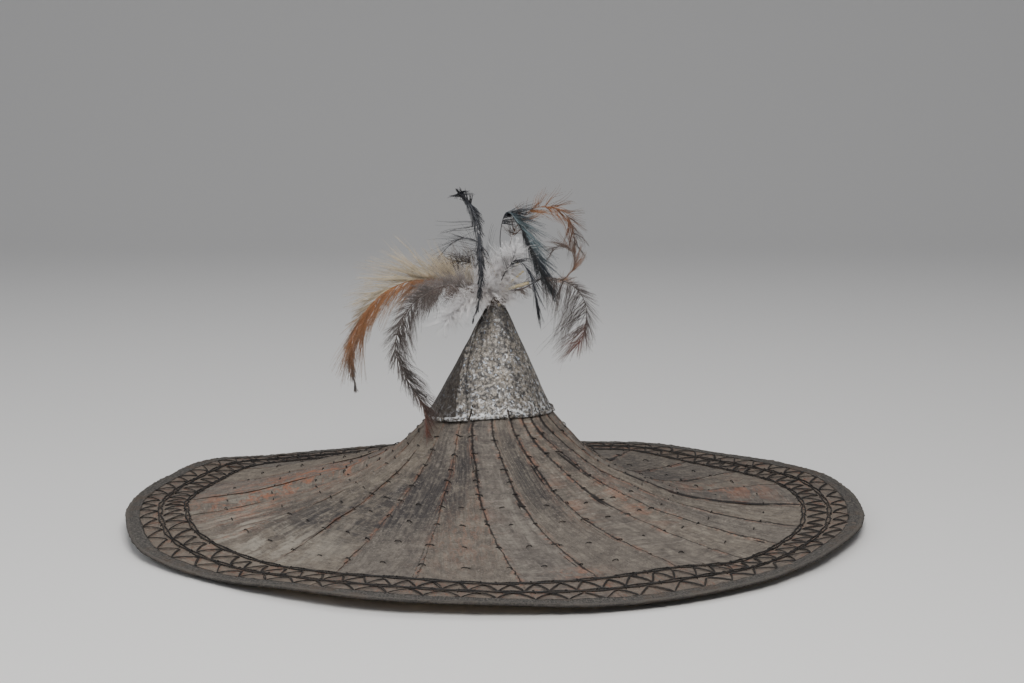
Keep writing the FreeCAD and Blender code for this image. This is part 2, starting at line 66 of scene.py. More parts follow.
# Heights above the plain flare, in millimetres, every 15 degrees round the hat
WAVE_START = 50 * MM
WAVE_RINGS = (
    (78 * MM, (-6, -6, -5, -4, -2, 0, 0, 0, 0, 1, 1, 1, 0, 0, 0, 0, 0, 0, 0, 0, 0, 0, -2, -4)),
    (110 * MM, (-4, -9, -9, -7, -3, 0, 0, 1, 3, 4, 5, 4, 3, 2, 2, 1, 0, 0, 0, 0, 0, 0, 0, -1)),
    (150 * MM, (-6, -10, -10, -9, -5, -2, 0, 2, 4, 6, 8, 6, 5, 4, 3, 2, 1, 0, 0, 0, 0, -1, -2, -3)),
    (240 * MM, (-2, -2, -5, -7, -4, -7, -4, -6, -8, -4, 0, 1, 2, 6, 1, -5, -3, 0, -2, -1, 0, -6, -7, -6)),
    (285 * MM, (1, 4, 1, -3, -3, -6, -3, -7, -7, -4, 4, 5, 4, 4, -2, -5, 0, 1, 0, -3, -3, -2, 0, 0)),
)
# How far the brim reaches beyond a true circle, at the same angles
REACH = (0, 0, -1, 1, 1, -1, 0, 0, -1, 1, 3, -3, 0, 2, 6, -2, -2, 1, 0, 2, 1, -1, -3, -1)
REACH_START = 150 * MM
REACH_FULL = 240 * MM
CROWN_LEAN = 3.4 * MM  # towards -X, at the lower edge of the cap
LEAN_RADIUS = 50 * MM
LEAN_END_RADIUS = 84 * MM

SWIRL_RADIUS = 100 * MM
SWIRL_END_RADIUS = 240 * MM
# Azimuth at the border, swirl on the way up, and how plainly the seam shows: the lap's rise and the width of
# its painted dark line, part joint and part painted shadow
SEAMS = (
    (-2, 22, 1.25), (15, 22, 1.15), (31, 23, 1.2), (46, 22, 1.1), (60, 21, 1.1), (77, 22, 0.85),
    (92, 23, 0.8), (106, 22, 0.6), (122, 21, 0.5), (136, 22, 0.3), (151, 23, 0.12), (167, 22, 0.2),
    (183, 22, 0.1), (198, 22, 0.2), (213, 23, 0.12), (228, 22, 0.2), (242, 21, 0.35), (257, 17, 0.6),
    (274, 22, 0.95), (286.5, 17, 1.0), (301.5, 14, 1.0), (317.5, 18, 1.05), (331, 21, 1.1), (344, 22, 1.2),
)
LINING_LEAVES = 8
LINING_SWIRL = -20
STITCH_RADII = tuple(r * MM for r in (57, 69.5, 80.5, 91, 103, 118, 141, 175, 210))
HALFWAY_FROM = 117 * MM  # rings of stitches beyond this have one more halfway between seams


def ease(share):
    """A smooth step from 0 to 1, level at both ends."""
    share = np.clip(share, 0, 1)
    return share * share * (3 - 2 * share)


def blend(a, b, c, d, t):
    """A smooth curve from b to c whose slopes follow a and d."""
    return b + 0.5 * t * (c - a + t * (2 * a - 5 * b + 4 * c - d + t * (3 * (b - c) + d - a)))


def periodic(values, theta):
    """A smooth closed curve through equally spaced values, in millimetres, read at angles."""
    v = np.asarray(values, float)
    place = (np.asarray(theta, float) / TAU * len(v)) % len(v)
    i = np.floor(place).astype(int)
    return blend(*(v[(i + k) % len(v)] for k in (-1, 0, 1, 2)), place - i) * MM


def wave(radius, theta):
    radius = np.asarray(radius, float)
    low, inner = WAVE_START, np.zeros(np.broadcast(radius, theta).shape)
    total = inner
    for high, heights in WAVE_RINGS:
        outer = periodic(heights, theta)
        share = np.maximum(0.0, (radius - low) / (high - low))
        share = np.where(share <= 1, ease(share), share if high > REACH_FULL else 1.0)
        total = np.where(radius > low, inner + share * (outer - inner), total)
        low, inner = high, outer
    return total


def reach(radius, theta):
    """Distance from the axis of a point at a nominal radius: the brim is not a true circle."""
    share = ease((radius - REACH_START) / (REACH_FULL - REACH_START))
    return radius + share * periodic(REACH, theta)


def lean(radius):
    """Shift of the crown's surface along X: most under the cap's lower edge."""
    down = ease((radius - LEAN_RADIUS) / (LEAN_END_RADIUS - LEAN_RADIUS))
    return -CROWN_LEAN * np.where(radius < LEAN_RADIUS, radius / LEAN_RADIUS, 1 - down)


def flare(radius):
    radius = np.asarray(radius, float)
    brim = CROWN_HEIGHT * np.exp((CROWN_RADIUS - radius) / CROWN_FLARE)
    edge = CROWN_HEIGHT * math.exp((CROWN_RADIUS - TIP_RADIUS) / CROWN_FLARE)
    inward = TIP_RADIUS - radius
    tip = edge + inward * edge / CROWN_FLARE + TIP_CURVE * inward**2
    return np.where(radius >= TIP_RADIUS, brim, tip)


def height(radius, theta):
    return flare(radius) + wave(radius, theta)


def on_hat(radius, theta, depth=0.0):
    """Points of the hat at a depth below the leaves' upper face, measured square to it."""
    radius, theta, depth = np.broadcast_arrays(radius, theta, depth)
    step = 0.5 * MM
    slope = (height(radius + step, theta) - height(radius - step, theta)) / (2 * step)
    length = np.hypot(1.0, slope)
    r = reach(radius, theta) + depth * slope / length
    z = height(radius, theta) - depth / length + LIFT
    return np.stack([r * np.cos(theta) + lean(radius), r * np.sin(theta), z], -1)


def up_from_hat(radius, theta):
    """Unit vectors square to the hat's surface."""
    return unit(on_hat(radius, theta, -MM) - on_hat(radius, theta, MM))


def swirled(border, swirl, radius):
    """Azimuth of a seam at some radii."""
    radius = np.asarray(radius, float)
    full = 1 - math.exp((CROWN_RADIUS - SWIRL_END_RADIUS) / SWIRL_RADIUS)
    share = (1 - np.exp((CROWN_RADIUS - np.maximum(radius, CROWN_RADIUS)) / SWIRL_RADIUS)) / full
    return np.radians(border - swirl * (1 - share))


# ------------------------------------------------------------------ mesh helpers

PLIES = 2  # of every twisted cord


def unit(v):
    return v / np.maximum(np.linalg.norm(v, axis=-1, keepdims=True), 1e-12)


def make_piece(name, verts, faces, look, **values):
    """A mesh object from points and faces, with named vectors stored at its points."""
    mesh = bpy.data.meshes.new(name)
    mesh.from_pydata(np.asarray(verts, float).tolist(), [], [list(map(int, f)) for f in faces])
    for key, rows in values.items():
        rows = np.asarray(rows, np.float32).ravel()
        mesh.attributes.new(key, "FLOAT_VECTOR", "POINT").data.foreach_set("vector", rows)
    mesh.polygons.foreach_set("use_smooth", [True] * len(mesh.polygons))
    mesh.update()
    mesh.materials.append(look)
    obj = bpy.data.objects.new(name, mesh)
    bpy.context.scene.collection.objects.link(obj)
    return obj


def place_piece(name, node, slot_name, verts, faces, look, **values):
    """A piece of the hat that stands for a node of the frame."""
    obj = make_piece(name, verts, faces, look, **values)
    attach(obj, "root")
    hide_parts(node)


def place_cord(name, node, slot_name, parts, look):
    verts, faces, values = join(parts)
    place_piece(name, node, slot_name, verts, faces, look, cord=values)


def join(parts):
    """Several (points, faces, values) lists as one."""
    points, faces, values, start = [], [], [], 0
    for p, f, a in parts:
        points.append(p)
        faces += [[start + int(i) for i in face] for face in f]
        values.append(a)
        start += len(p)
    return np.concatenate(points), faces, np.concatenate(values)


def table(shape, *columns):
    """Rows of values, one for each point of a grid."""
    return np.stack([np.broadcast_to(column, shape) for column in columns], -1).reshape(-1, len(columns))


def circle(sides):
    turn = np.arange(sides) / sides * TAU
    return np.stack([np.cos(turn), np.sin(turn)], -1)


def grid_faces(index):
    a, b = index[:-1], index[1:]
    return np.stack([a[:, :-1], b[:, :-1], b[:, 1:], a[:, 1:]], -1).reshape(-1, 4)


def ring_faces(index):
    """The faces of a grid that is closed both ways."""
    ahead = np.roll(index, -1, 0)
    return np.stack([index, np.roll(index, -1, 1), np.roll(ahead, -1, 1), ahead], -1).reshape(-1, 4)


def slab(top, bottom):
    """A closed sheet between two grids of points whose rows run outward."""
    rows, columns = top.shape[:2]
    upper = np.arange(rows * columns).reshape(rows, columns)
    lower = upper + rows * columns
    faces = [grid_faces(upper), grid_faces(lower)[:, ::-1]]
    for line, under in (
        (upper[0], lower[0]),
        (upper[-1][::-1], lower[-1][::-1]),
        (upper[::-1, 0], lower[::-1, 0]),
        (upper[:, -1], lower[:, -1]),
    ):
        faces.append(np.stack([line[:-1], line[1:], under[1:], under[:-1]], -1))
    return np.concatenate([top.reshape(-1, 3), bottom.reshape(-1, 3)]), np.concatenate(faces)


def sweep(points, side, up, section, closed=False):
    """Tubes along n paths of s points. section is (..., k, 2) in side and up."""
    section = np.broadcast_to(section, points.shape[:2] + np.shape(section)[-2:])
    rings = points[:, :, None] + side[:, :, None] * section[..., 0:1] + up[:, :, None] * section[..., 1:2]
    n, s, k = rings.shape[:3]
    index = np.arange(n * s * k).reshape(n, s, k)
    low, high = (index, np.roll(index, -1, 1)) if closed else (index[:, :-1], index[:, 1:])
    quads = np.stack([low, np.roll(low, -1, 2), np.roll(high, -1, 2), high], -1).reshape(-1, 4)
    faces = quads.tolist()
    if not closed:
        faces += index[:, 0, ::-1].tolist() + index[:, -1].tolist()
    return rings.reshape(-1, 3), faces


def path_frames(points, hint):
    """Side and up along paths, the side kept near a hint."""
    tangent = unit(np.gradient(points, axis=-2))
    side = unit(hint - tangent * (hint * tangent).sum(-1, keepdims=True))
    return side, np.cross(tangent, side)


def loop_frames(points, ups):
    """Side and up along closed paths."""
    tangent = unit(np.roll(points, -1, 1) - np.roll(points, 1, 1))
    side = unit(np.cross(ups, tangent))
    return side, np.cross(tangent, side)


def ropes(points, ups, radius, pitch, sides=10, closed=False, depth=0.2):
    """Twisted cords along n paths of s points, with (distance, turn, cord) at every point."""
    steps = np.linalg.norm(np.diff(points, axis=1), axis=-1)
    along = np.concatenate([np.zeros((len(points), 1)), np.cumsum(steps, 1)], 1)
    if closed:
        side, up = loop_frames(points, ups)
        around = along[:, -1:] + np.linalg.norm(points[:, :1] - points[:, -1:], axis=-1)
        laps = along / around * np.round(around / (pitch * PLIES))
    else:
        side, up = path_frames(points, np.cross(ups, np.gradient(points, axis=1)))
        laps = along / (pitch * PLIES)
    turn = np.arange(sides) / sides * TAU
    lobes = 1 + depth * np.cos(PLIES * (turn - TAU * laps[..., None]))
    section = (radius * lobes / (1 + depth * 0.5))[..., None] * circle(sides)
    verts, faces = sweep(points, side, up, section, closed)
    cord = np.arange(len(points))[:, None, None] * 0.618 % 1
    return verts, faces, table(lobes.shape, along[..., None], np.arange(sides) / sides, cord)


def smooth_line(points, count):
    """Evenly spaced points on a smooth line through the given ones."""
    p = np.asarray(points, float)
    p = np.vstack([2 * p[0] - p[1], p, 2 * p[-1] - p[-2]])
    t = np.linspace(0, 1, 24, endpoint=False)[:, None]
    line = np.vstack([blend(*p[k - 1 : k + 3], t) for k in range(1, len(p) - 2)] + [p[-2:-1]])
    along = np.concatenate([[0], np.cumsum(np.linalg.norm(np.diff(line, axis=0), axis=1))])
    even = np.linspace(0, along[-1], count)
    return np.stack([np.interp(even, along, line[:, i]) for i in range(3)], -1)


def value_noise(rng, shape, smooth_steps):
    """Smooth random values between about -1 and 1 on a grid, periodic both ways."""
    field = rng.standard_normal(shape)
    spectrum = np.fft.fftn(field)
    for axis, steps in enumerate(smooth_steps):
        f = np.fft.fftfreq(shape[axis]) * steps
        view = [1] * len(shape)
        view[axis] = -1
        spectrum = spectrum * np.exp(-(f**2) * 4).reshape(view)
    field = np.fft.ifftn(spectrum).real
    return field / (2 * field.std())


# ------------------------------------------------------------------ shader helpers


class Look:
    """A procedural material, built node by node. colour is its colour so far."""

    def __init__(self, name):
        self.material = bpy.data.materials.new(name)
        self.material.use_nodes = True
        self.tree = self.material.node_tree
        self.colour = None

    def feed(self, socket, value):
        if isinstance(value, bpy.types.NodeSocket):
            self.tree.links.new(value, socket)
        else:
            socket.default_value = (*value, 1.0) if socket.type == "RGBA" else value

    def node(self, kind, settings=None, **inputs):
        """A new node. An input is given by its name, or as i and its number."""
        made = self.tree.nodes.new(kind)
        for key, value in (settings or {}).items():
            setattr(made, key, value)
        for key, value in inputs.items():
            self.feed(made.inputs[int(key[1:]) if key[1:].isdigit() else key], value)
        return made

    def value(self, key):
        """The three parts of a vector stored at the mesh's points."""
        stored = self.node("ShaderNodeAttribute", {"attribute_name": key}).outputs["Vector"]
        return self.node("ShaderNodeSeparateXYZ", Vector=stored).outputs[:3]

    def vector(self, x, y, z):
        return self.node("ShaderNodeCombineXYZ", X=x, Y=y, Z=z).outputs[0]

    def place(self, shift=None):
        """The point's own place on the object, shifted or not."""
        here = self.node("ShaderNodeTexCoord").outputs["Object"]
        if shift is None:
            return here
        return self.node("ShaderNodeVectorMath", {"operation": "ADD"}, i0=here, i1=shift).outputs[0]

    def math(self, operation, a, b=0.0):
        return self.node("ShaderNodeMath", {"operation": operation}, i0=a, i1=b).outputs[0]

    def times(self, a, b):
        return self.math("MULTIPLY", a, b)

    def plus(self, a, b):
        return self.math("ADD", a, b)

    def noise(self, vector, scale, detail, roughness=0.55, distortion=0.0):
        return self.node(
            "ShaderNodeTexNoise", Vector=vector, Scale=scale, Detail=detail, Roughness=roughness,
            Distortion=distortion,
        ).outputs[0]

    def grain(self, vector, scale, detail, roughness=0.55, distortion=0.0):
        """Noise stretched differently along each axis."""
        stretched = self.node("ShaderNodeVectorMath", {"operation": "MULTIPLY"}, i0=vector, i1=scale)
        return self.noise(stretched.outputs[0], 1.0, detail, roughness, distortion)

    def span(self, value, low, high, least=0.0, most=1.0):
        """The value's way from low to high, smooth and clamped."""
        return self.node(
            "ShaderNodeMapRange", {"interpolation_type": "SMOOTHSTEP"},
            i0=value, i1=low, i2=high, i3=least, i4=most,
        ).outputs[0]

    def ramp(self, value, stops):
        made = self.node("ShaderNodeValToRGB", Fac=value)
        ends = made.color_ramp.elements
        while len(ends) < len(stops):
            ends.new(0.5)
        for end, (place, colour) in zip(ends, stops):
            end.position = place
            end.color = (*colour, 1.0)
        return made.outputs[0]

    def mix(self, share, a, b, blend="MIX"):
        settings = {"data_type": "RGBA", "blend_type": blend}
        return self.node("ShaderNodeMix", settings, i0=share, i6=a, i7=b).outputs[2]

    def coat(self, share, shade):
        """Blend a share of a shade into the colour so far."""
        self.colour = self.mix(share, self.colour, shade)

    def tint(self, value, low, high, most, shade):
        """Blend in up to most of a shade as the value runs from low to high."""
        self.coat(self.span(value, low, high, 0.0, most), shade)

    def bump(self, relief, distance, strength, normal=None):
        below = {} if normal is None else {"Normal": normal}
        made = self.node("ShaderNodeBump", Height=relief, Distance=distance, Strength=strength, **below)
        return made.outputs[0]

    def finish(self, roughness, normal=None, metallic=0.0, sheen=0.0, specular=0.5):
        surface = self.tree.nodes["Principled BSDF"].inputs
        sockets = ("Base Color", "Roughness", "Metallic", "Specular IOR Level", "Sheen Weight", "Normal")
        for key, value in zip(sockets, (self.colour, roughness, metallic, specular, sheen, normal)):
            if value is not None:
                self.feed(surface[key], value)
        return self.material


# ------------------------------------------------------------------ materials


def leaf_look():
    """Weathered palm leaf. "leaf" holds distance across and along the leaf in metres, and the leaf's
    own number; "seam" holds the distance to the two seams and the radius; "tint" holds how much of
    the leaf here is dark, reddish and pale."""
    look = Look("weathered_palm_leaf")
    across, along, number = look.value("leaf")
    to_first, to_second, radius = look.value("seam")
    dark, reddish, pale = look.value("tint")
    place = look.place()
    base = look.vector(across, look.plus(along, look.times(number, 7.3)), number)
    fibres = look.grain(base, (1500.0, 75.0, 9.0), 4.0, 0.7)
    threads = look.grain(base, (380.0, 520.0, 4.0), 4.0, 0.75)
    veins = look.grain(base, (330.0, 11.0, 5.0), 3.0, 0.6, 0.4)
    patches = look.grain(base, (52.0, 19.0, 3.0), 6.0, 0.68, 1.0)
    wide = look.noise(place, 13.0, 5.0, 0.62)
    mottle = look.noise(place, 105.0, 6.0, 0.74)
    crumbs = look.noise(place, 420.0, 5.0, 0.8)
    grit = look.node("ShaderNodeTexVoronoi", Vector=place, Scale=760.0).outputs["Distance"]

    greys = ((0.30, (0.074, 0.063, 0.056)), (0.46, (0.128, 0.110, 0.094)), (0.58, (0.176, 0.154, 0.130)),
             (0.75, (0.250, 0.220, 0.186)))
    tone = look.span(look.noise(look.vector(number, 0.3, 0.7), 37.0, 0.0), 0.3, 0.7)
    leafy = look.mix(tone, (0.80, 0.81, 0.85), (1.14, 1.10, 1.02))
    look.colour = look.mix(0.85, look.ramp(mottle, greys), leafy, "MULTIPLY")
    shade = look.times(look.span(patches, 0.50, 0.32), look.span(wide, 0.60, 0.42, 0.15, 0.6))
    look.coat(look.times(shade, 0.6), (0.062, 0.056, 0.054))
    streaks = look.span(look.plus(veins, mottle), 1.18, 0.88, 0.3, 0.92)
    look.coat(look.times(dark, streaks), (0.030, 0.027, 0.029))
    look.tint(veins, 0.46, 0.30, 0.3, (0.052, 0.045, 0.041))
    look.tint(fibres, 0.50, 0.72, 0.28, (0.30, 0.265, 0.225))
    look.tint(fibres, 0.48, 0.28, 0.3, (0.045, 0.039, 0.036))
    bleached = look.times(pale, look.span(look.plus(veins, patches), 0.96, 1.16))
    look.coat(look.times(bleached, 0.75), (0.33, 0.30, 0.25))

    nearest = look.math("MINIMUM", to_first, to_second)
    rubbed = look.grain(base, (200.0, 70.0, 11.0), 6.0, 0.78, 0.8)
    edge_red = look.times(look.span(nearest, 0.0055, 0.0004), look.span(rubbed, 0.48, 0.60))
    field_red = look.times(reddish, look.span(rubbed, 0.47, 0.58))
    red = look.math("MAXIMUM", look.times(edge_red, 0.55), field_red)
    look.coat(look.times(red, 0.9), (0.29, 0.122, 0.070))
    border = look.span(radius, 0.2375, 0.241)
    look.coat(look.times(border, look.span(mottle, 0.36, 0.60, 0.1, 0.6)), (0.150, 0.116, 0.092))
    look.coat(look.times(border, look.span(rubbed, 0.52, 0.62, 0.0, 0.6)), (0.19, 0.092, 0.060))
    look.tint(crumbs, 0.60, 0.72, 0.65, (0.36, 0.32, 0.27))
    look.tint(crumbs, 0.42, 0.30, 0.75, (0.030, 0.026, 0.025))
    look.tint(threads, 0.55, 0.68, 0.55, (0.30, 0.265, 0.225))
    look.tint(threads, 0.45, 0.33, 0.55, (0.040, 0.035, 0.033))
    look.tint(grit, 0.16, 0.05, 0.5, (0.42, 0.38, 0.32))
    # Dark line painted along each seam: partly the dark joint between leaves, partly painted shadow of the
    # lapped edge
    ragged = look.plus(nearest, look.span(crumbs, 0.3, 0.7, -0.0007, 0.0007))
    ragged = look.plus(ragged, look.times(border, 0.0012))
    look.tint(ragged, 0.0017, 0.0003, 0.92, (0.012, 0.010, 0.010))

    normal = look.bump(fibres, 0.0003, 0.8)
    normal = look.bump(look.plus(veins, patches), 0.0008, 0.7, normal)
    normal = look.bump(look.plus(crumbs, threads), 0.0004, 0.8, normal)
    return look.finish(look.span(mottle, 0.3, 0.7, 0.66, 0.84), normal, specular=0.30)


def lining_look():
    look = Look("pale_lining_leaf")
    across, along, number = look.value("leaf")
    base = look.vector(across, look.plus(along, number), number)
    fibres = look.grain(base, (1100.0, 20.0, 9.0), 3.0, 0.6)
    patches = look.grain(base, (40.0, 12.0, 3.0), 5.0, 0.62, 0.6)
    stains = look.noise(look.place(), 24.0, 5.0, 0.65)
    browns = ((0.3, (0.20, 0.135, 0.078)), (0.5, (0.36, 0.265, 0.16)), (0.72, (0.48, 0.375, 0.24)))
    look.colour = look.ramp(patches, browns)
    look.tint(fibres, 0.4, 0.7, 0.3, (0.56, 0.45, 0.31))
    look.tint(stains, 0.52, 0.68, 0.6, (0.13, 0.085, 0.055))
    normal = look.bump(fibres, 0.0003, 0.8)
    return look.finish(look.span(stains, 0.3, 0.7, 0.5, 0.75), normal, specular=0.35)


def thread_look():
    """Dark waxed thread, worn to brown on its high spots."""
    look = Look("dark_waxed_thread")
    along, turn, number = look.value("cord")
    fuzz = look.noise(look.place(), 1500.0, 3.0, 0.7)
    worn = look.noise(look.place(), 130.0, 4.0, 0.65)
    strands = look.noise(look.vector(look.times(turn, 9.0), look.times(along, 420.0), number), 1.0, 2.0)
    darks = ((0.35, (0.010, 0.009, 0.009)), (0.55, (0.024, 0.020, 0.018)), (0.75, (0.075, 0.055, 0.042)))
    look.colour = look.ramp(worn, darks)
    look.tint(fuzz, 0.55, 0.75, 0.3, (0.09, 0.078, 0.066))
    normal = look.bump(look.plus(strands, fuzz), 0.00025, 0.8)
    return look.finish(look.span(worn, 0.3, 0.7, 0.45, 0.75), normal, specular=0.4)


def cord_look():
    look = Look("brown_twisted_cord")
    fuzz = look.noise(look.place(), 1300.0, 3.0, 0.7)
    dirt = look.noise(look.place(), 90.0, 4.0, 0.65)
    browns = ((0.3, (0.022, 0.016, 0.012)), (0.6, (0.06, 0.042, 0.03)), (0.8, (0.14, 0.10, 0.07)))
    look.colour = look.ramp(dirt, browns)
    look.tint(fuzz, 0.5, 0.75, 0.4, (0.16, 0.12, 0.09))
    return look.finish(0.8, look.bump(fuzz, 0.0003, 0.8), specular=0.25)


def binding_look():
    """The folded edging: a grey fibre strip. "strip" holds distance along, place across from the
    inner edge on top (0) to the inner edge below (1), and a free number."""
    look = Look("grey_edging_strip")
    along, across, number = look.value("strip")
    base = look.vector(along, across, number)
    fibres = look.grain(base, (760.0, 9.0, 1.0), 4.0, 0.8)
    folds = look.grain(base, (95.0, 26.0, 1.0), 5.0, 0.7)
    stains = look.noise(look.place(), 34.0, 5.0, 0.7)
    grit = look.noise(look.place(), 520.0, 5.0, 0.8)
    greys = ((0.3, (0.046, 0.043, 0.043)), (0.48, (0.088, 0.082, 0.077)), (0.68, (0.150, 0.136, 0.120)))
    look.colour = look.ramp(folds, greys)
    look.tint(fibres, 0.51, 0.64, 0.75, (0.230, 0.208, 0.182))
    look.tint(fibres, 0.48, 0.35, 0.85, (0.018, 0.017, 0.017))
    look.tint(stains, 0.50, 0.66, 0.6, (0.125, 0.092, 0.070))
    lip = look.times(look.span(across, 0.34, 0.42), look.span(across, 0.56, 0.48))
    look.coat(look.times(lip, look.span(stains, 0.35, 0.6, 0.25, 0.7)), (0.150, 0.135, 0.118))
    look.tint(grit, 0.60, 0.74, 0.6, (0.30, 0.275, 0.24))
    look.tint(grit, 0.42, 0.28, 0.75, (0.020, 0.019, 0.019))
    # Painted shade: the edging's underside, past its outer edge, darkened to stand for shadow under the rim
    look.tint(across, 0.50, 0.62, 0.5, (0.018, 0.016, 0.016))
    normal = look.bump(look.plus(grit, folds), 0.0009, 1.0, look.bump(fibres, 0.0009, 1.0))
    return look.finish(0.88, normal, specular=0.2)


def tin_look():
    """Corroded tinned sheet: a fine mix of grey, tan and pale specks. "sheet" holds the way round
    from the lapped edge, the way up and a free number."""
    look = Look("corroded_tin_sheet")
    round_it, up_it, number = look.value("sheet")
    place = look.place()
    specks = look.noise(place, 400.0, 4.0, 0.72, 0.4)
    flakes = look.noise(look.place((0.7, 0.1, 0.4)), 260.0, 5.0, 0.74, 0.6)
    blue = look.noise(look.place((0.2, 0.9, 0.3)), 380.0, 4.0, 0.65)
    bloom = look.noise(place, 120.0, 5.0, 0.68)
    wide = look.noise(place, 26.0, 4.0, 0.62)
    runs = look.grain(look.vector(round_it, up_it, number), (70.0, 4.0, 1.0), 4.0, 0.6)
    metals = ((0.3, (0.050, 0.048, 0.050)), (0.46, (0.120, 0.112, 0.104)), (0.60, (0.210, 0.185, 0.155)),
              (0.8, (0.30, 0.255, 0.20)))
    look.colour = look.ramp(bloom, metals)
    look.tint(specks, 0.51, 0.61, 0.8, (0.42, 0.38, 0.33))
    look.tint(specks, 0.49, 0.39, 0.92, (0.022, 0.020, 0.021))
    low = look.times(look.span(up_it, 0.24, 0.0), 0.09)
    look.tint(look.plus(flakes, low), 0.565, 0.66, 0.9, (0.72, 0.73, 0.74))
    look.tint(blue, 0.60, 0.67, 0.8, (0.50, 0.58, 0.70))
    rust = look.times(look.span(wide, 0.50, 0.66), look.span(flakes, 0.42, 0.30))
    look.coat(look.times(rust, 0.7), (0.15, 0.085, 0.045))
    look.tint(runs, 0.46, 0.34, 0.45, (0.070, 0.062, 0.056))
    # Darker over the sheet's last stretch before the lapped edge, the cone's left face: partly dull patina,
    # partly painted shade of a face turned from the light
    wavy = look.plus(round_it, look.span(runs, 0.3, 0.7, -0.02, 0.02))
    behind = look.times(look.span(wavy, 0.955, 0.985, 1.0, 0.0), look.span(round_it, 0.30, 0.72))
    look.coat(look.times(behind, 0.82), (0.030, 0.022, 0.017))
    edge = look.times(look.span(up_it, 0.012, 0.0), look.span(flakes, 0.45, 0.56, 0.0, 0.8))
    look.coat(edge, (0.62, 0.61, 0.59))
    look.tint(round_it, 0.993, 0.999, 0.6, (0.020, 0.017, 0.016))
    look.tint(up_it, 0.62, 0.96, 0.65, (0.032, 0.029, 0.028))
    normal = look.bump(look.plus(specks, flakes), 0.0004, 0.8)
    normal = look.bump(look.plus(bloom, runs), 0.0008, 0.5, normal)
    return look.finish(look.span(flakes, 0.4, 0.65, 0.64, 0.40), normal, metallic=0.3)


def cane_look():
    look = Look("split_cane")
    along, turn, number = look.value("cord")
    grain = look.noise(look.vector(look.times(turn, 16.0), look.times(along, 22.0), number), 1.0, 4.0, 0.6)
    stains = look.noise(look.place(), 30.0, 5.0, 0.65)
    tans = ((0.3, (0.22, 0.14, 0.07)), (0.55, (0.38, 0.265, 0.14)), (0.75, (0.48, 0.36, 0.21)))
    look.colour = look.ramp(grain, tans)
    look.tint(stains, 0.5, 0.68, 0.6, (0.12, 0.075, 0.042))
    return look.finish(look.span(grain, 0.3, 0.7, 0.38, 0.6), look.bump(grain, 0.0002, 0.7))


def feather_look(name, upper, lower, tip, tip_share=0.5, roughness=0.5, sheen=0.25, gloom=0.5):
    """Barbs coloured along the feather, on its two sides. "strand" holds the way along the
    feather, the way out along the barb, and a number that is over 1 on the second side."""
    look = Look(name)
    along, out, number = look.value("strand")
    streak = look.noise(look.vector(look.times(along, 45.0), look.times(out, 3.0), number), 1.0, 3.0, 0.6)
    second = look.math("GREATER_THAN", number, 1.0)
    look.colour = look.mix(second, look.ramp(along, upper), look.ramp(along, lower))
    look.tint(out, 0.35, 1.0, tip_share, tip)
    shade = look.plus(look.times(look.math("FRACT", number), 0.7), look.times(streak, 0.8))
    look.coat(look.span(shade, 0.35, 1.1, gloom, 0.0), (0.02, 0.014, 0.012))
    return look.finish(roughness, look.bump(streak, 0.0001, 0.5), sheen=sheen, specular=0.45)


def stick_look():
    look = Look("bamboo_stick")
    grain = look.grain(look.place(), (900.0, 900.0, 40.0), 4.0, 0.6)
    look.colour = look.ramp(grain, ((0.3, (0.25, 0.17, 0.09)), (0.7, (0.5, 0.39, 0.23))))
    return look.finish(0.5, look.bump(grain, 0.0002, 0.6))


def quill_look():
    look = Look("horny_quill")
    along, turn, number = look.value("cord")
    grain = look.noise(look.vector(look.times(turn, 12.0), look.times(along, 90.0), number), 1.0, 3.0)
    horn = ((0.3, (0.60, 0.48, 0.26)), (0.6, (0.74, 0.64, 0.42)), (0.8, (0.82, 0.76, 0.58)))
    look.colour = look.ramp(grain, horn)
    return look.finish(0.38, look.bump(grain, 0.0001, 0.5), specular=0.6)


# ------------------------------------------------------------------ leaves


def crowd(values, centres, width):
    """Near 1 at the centres and 0 away from them."""
    gaps = np.abs(np.asarray(values)[..., None] - np.asarray(centres))
    return np.exp(-((gaps / width) ** 2)).max(-1)


LEAF_ROWS = 170
TIP_ROWS = 16  # of them, on the tip inside the cap
LEAF_COLUMNS = 76
RIM_MIDDLE = 0.83 * MM  # depth of the rim hoop's middle
OVERLAP = 3.0 * MM
OVERLAP_RISE = 0.55 * MM
TUCK_DEPTH = 0.25 * MM
LEAF_SKIN = 0.7 * MM
DEEPEST = -0.68 * MM  # keeps a leaf's underside above the lining's underside
LINING_TOP = 1.0 * MM
LINING_UNDERSIDE = 1.62 * MM


def zone(radius, theta, azimuth, spread, place, reach_out):
    """Near 1 inside a patch of the hat given by an azimuth and a radius, fading round it."""
    turn = (np.degrees(theta) - azimuth + 180) % 360 - 180
    return np.exp(-((turn / spread) ** 2) - ((radius - place * MM) / (reach_out * MM)) ** 2)


# azimuth, spread in degrees, radius and reach in millimetres, strength
DARK_ZONES = ((252, 9, 92, 55, 0.9), (236, 14, 120, 60, 0.75), (284, 6, 80, 34, 0.95), (291, 5, 112, 26, 0.9),
              (318, 14, 75, 30, 0.6), (20, 40, 130, 70, 0.55), (214, 15, 168, 34, 0.8),
              (229, 13, 132, 42, 0.75), (60, 40, 170, 90, 0.6))
RED_ZONES = ((183, 14, 172, 62, 1.0), (172, 9, 120, 45, 1.0), (198, 10, 205, 24, 0.6),
             (322, 7, 128, 36, 0.55),
             (12, 12, 190, 44, 0.55), (284, 5, 226, 12, 0.6), (297, 5, 118, 30, 0.35), (262, 8, 160, 50, 0.3))
PALE_ZONES = ((218, 20, 212, 34, 0.9), (192, 22, 205, 36, 0.55), (277, 7, 150, 70, 0.5),
              (350, 26, 200, 50, 0.35))


def tints(radius, theta):
    shares = []
    for zones in (DARK_ZONES, RED_ZONES, PALE_ZONES):
        parts = [zone(radius, theta, *patch[:4]) * patch[4] for patch in zones]
        shares.append(np.clip(sum(parts), 0, 1))
    return np.stack(shares, -1)


